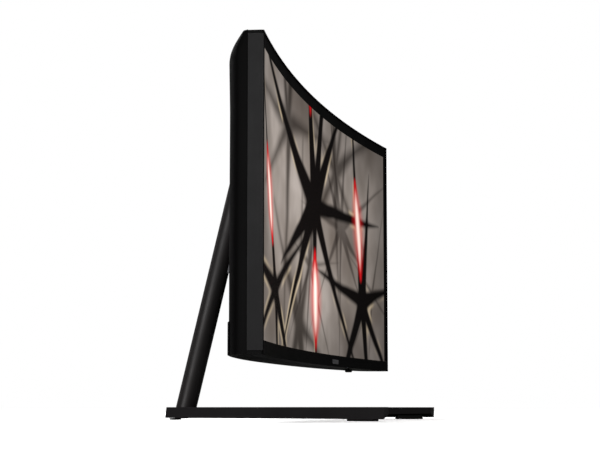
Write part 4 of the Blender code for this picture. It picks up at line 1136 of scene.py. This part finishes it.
def build_foot():
    body = loft("foot_body_fine", foot_rings(0.0, 0.0, FOOT_TOP))
    bolt = (0.0, SCREW_Y, 0.0)
    seat = rod("pole_seat", on_pole(-0.02), POLE_AXIS, 0.04, POLE_RADIUS + 0.0004, 128)
    cut(seat, box("seat_floor", (-0.05, 0.08, -0.05), (0.05, 0.22, SEAT_FLOOR_Z)))
    room = loft("foot_room", foot_rings(0.003, -0.006, 0.0142))
    cut(body, room, seat, rod("bolt_hole", bolt, (0, 0, 1), 0.03, BOLT_HOLE, 32))
    dress(body, "foot_body", bevel=0.0007, segments=3, sharp=28)
    cover = loft("foot_cover_fine", foot_rings(0.0035, 0.0002, thick=0.0015))
    cut(cover, rod("cover_bolt_hole", bolt, (0, 0, 1), 0.03, 0.0110, 64))
    dress(cover, "foot_cover", bevel=0.0003, sharp=28)
    for side, sign in SIDES:
        spots = ((0.045, 0.14), (0.16, 0.14), (0.16, 0.80), (0.045, 0.80))
        top = [leg_point(sign, *spot) for spot in spots]
        pad = loft("pad_front_%s_fine" % side, [[(x, y, 0.0) for x, y, _ in top], top])
        dress(pad, "pad_front_" + side, bevel=0.0006)
    pad = slab_z("pad_rear_fine", rounded(0.016, 0.0045, 0.003), (0.0, 0.1635), 0.0, FOOT_BOTTOM - 0.0003)
    dress(pad, "pad_rear", bevel=0.0004)
    outline = rounded(0.0136, 0.0140, 0.0135)
    gasket = slab_z("pole_gasket_fine", outline, (0.0, 0.1476), SEAT_FLOOR_Z + 0.0002, POLE_SEAT_Z - 0.0002)
    cut(gasket, rod("gasket_hole", bolt, (0, 0, 1), 0.03, BOLT_HOLE, 32))
    dress(gasket, "pole_gasket", bevel=0.0002)


def build_foot_screw():
    profile = (
        (0, SCREW_HEAD - 0.0007),
        (0.0003, SCREW_HEAD - 0.0002),
        (0.0008, SCREW_HEAD),
        (0.0042, SCREW_HEAD),
        (0.0042, 0.0028),
        (0.0240, 0.0028),
        (0.0248, 0.0022),
    )
    screw = turned("foot_screw_fine", (0.0, SCREW_Y, 0.0042), (0, 0, 1), profile, 64)
    cut(screw, box("screw_slot", (-0.0075, SCREW_Y - 0.0014, 0.003), (0.0075, SCREW_Y + 0.0014, 0.0062)))
    dress(screw, "foot_screw", bevel=0.0002)
    turns = [math.pi * i / 32 for i in range(33)]
    rings = []
    for z in (0.0015, 0.0033):
        rings.append([(SCREW_HEAD * math.cos(t), SCREW_Y + SCREW_HEAD * math.sin(t), z) for t in turns])
    handle = loft("screw_ring_fine", rings)
    rings = []
    for z in (0.0, 0.006):
        rings.append([(0.0062 * math.cos(t), SCREW_Y + 0.0018 + 0.0052 * math.sin(t), z) for t in turns])
    cut(handle, loft("ring_room", rings))
    dress(handle, "screw_ring", bevel=0.0003)


def build_stick():
    x, y = STICK_X, arc_y(STICK_X, STICK_DEPTH)
    profile = (
        (-0.0051, 0.0022),
        (-0.0055, 0.0034),
        (-0.0054, 0.0042),
        (-0.0051, 0.0048),
        (-0.0046, 0.0053),
        (-0.0038, 0.0055),
        (-0.0014, 0.0054),
        (-0.0010, 0.0051),
        (-0.0010, 0.0014),
        (0.0072, 0.0014),
    )
    cap = turned("stick_cap_fine", (x, y, BOTTOM_Z), (0, 0, 1), profile, 96)
    for point in cap.data.vertices:
        out = Vector((point.co.x - x, point.co.y - y))
        if out.length > 0.0047 and point.co.z < BOTTOM_Z - 0.0012:
            ribbed = 1 - 0.05 * (0.5 - 0.5 * math.cos(math.atan2(out.y, out.x) * GRIP_RIBS))
            point.co.x, point.co.y = x + out.x * ribbed, y + out.y * ribbed
    dress(cap, "stick_cap")


def dress_the_rest():
    """Nodes that stay hidden inside keep their own mesh and get their finish."""
    for name, obj in frame["nodes"].items():
        obj.data.materials.clear()
        obj.data.materials.append(FINISH[SLOT_OF[name]])


# Studio


def build_studio():
    floor = placed("floor", bpy.data.meshes.new("floor"))
    reach = FLOOR_REACH
    corners = [(-reach, -reach), (reach, -reach), (reach, reach), (-reach, reach)]
    floor.data.from_pydata([(x, y, -0.0002) for x, y in corners], [], [(0, 1, 2, 3)])
    n = Nodes()
    n.mat.name = "floor_look"
    grain = n.noise(n.at, 60.0, 4.0, 0.6)
    distance = n.add("ShaderNodeVectorMath", operation="LENGTH")
    n.put(distance.inputs[0], n.at)
    paths = n.add("ShaderNodeLightPath")
    sweep = n.span(distance.outputs["Value"], 0.7, 2.6, 0.30, 1.0, smooth=True)
    pale = n.mix(n.span(grain, 0.3, 0.7), (0.88, 0.88, 0.88), (0.91, 0.91, 0.91))
    bounce = n.mix(paths.outputs["Is Glossy Ray"], (0.07, 0.07, 0.068), (0.035, 0.035, 0.034))
    n.set(
        Base_Color=n.mix(paths.outputs["Is Camera Ray"], bounce, pale),
        Roughness=0.85,
        Specular_IOR_Level=0.1,
        Emission_Color=(1.0, 1.0, 1.0),
        Emission_Strength=n.math("MULTIPLY", sweep, paths.outputs["Is Camera Ray"]),
    )
    floor.data.materials.append(n.mat)

    world = bpy.data.worlds.new("studio")
    bpy.context.scene.world = world
    world.use_nodes = True
    tree = world.node_tree
    shade = tree.nodes["Background"]
    paths = tree.nodes.new("ShaderNodeLightPath")
    pick = tree.nodes.new("ShaderNodeMix")
    pick.data_type = "FLOAT"
    tree.links.new(paths.outputs["Is Camera Ray"], pick.inputs[0])
    pick.inputs[2].default_value = WORLD_GLOW
    pick.inputs[3].default_value = 1.0
    tree.links.new(pick.outputs[0], shade.inputs["Strength"])
    shade.inputs["Color"].default_value = (1.0, 1.0, 1.0, 1.0)

    for name, place, target, size, power in LIGHTS:
        light = bpy.data.lights.new(name, "AREA")
        light.energy = power
        light.size = size
        lamp = placed(name, light)
        lamp.location = place
        lamp.visible_glossy = name != "rear"
        lamp.rotation_euler = (Vector(target) - Vector(place)).to_track_quat("-Z", "Y").to_euler()


def build_camera():
    data = bpy.data.cameras.new("camera")
    data.lens = CAMERA_LENS
    data.sensor_width = 36.0
    data.clip_start = 0.01
    data.clip_end = 100.0
    camera = placed("camera", data)
    camera.location = CAMERA_AT
    yaw, tilt = math.radians(CAMERA_YAW), math.radians(CAMERA_TILT)
    ahead = Vector((math.cos(yaw) * math.cos(tilt), math.sin(yaw) * math.cos(tilt), math.sin(tilt)))
    camera.rotation_mode = "QUATERNION"
    camera.rotation_quaternion = ahead.to_track_quat("-Z", "Y")
    bpy.context.scene.camera = camera


build_front()
build_frame()
build_cover()
build_skirt()
build_back_details()
build_neck()
build_pole()
build_ribbon()
build_foot()
build_foot_screw()
build_stick()
dress_the_rest()
build_studio()
build_camera()
bpy.context.scene.view_settings.view_transform = "Standard"
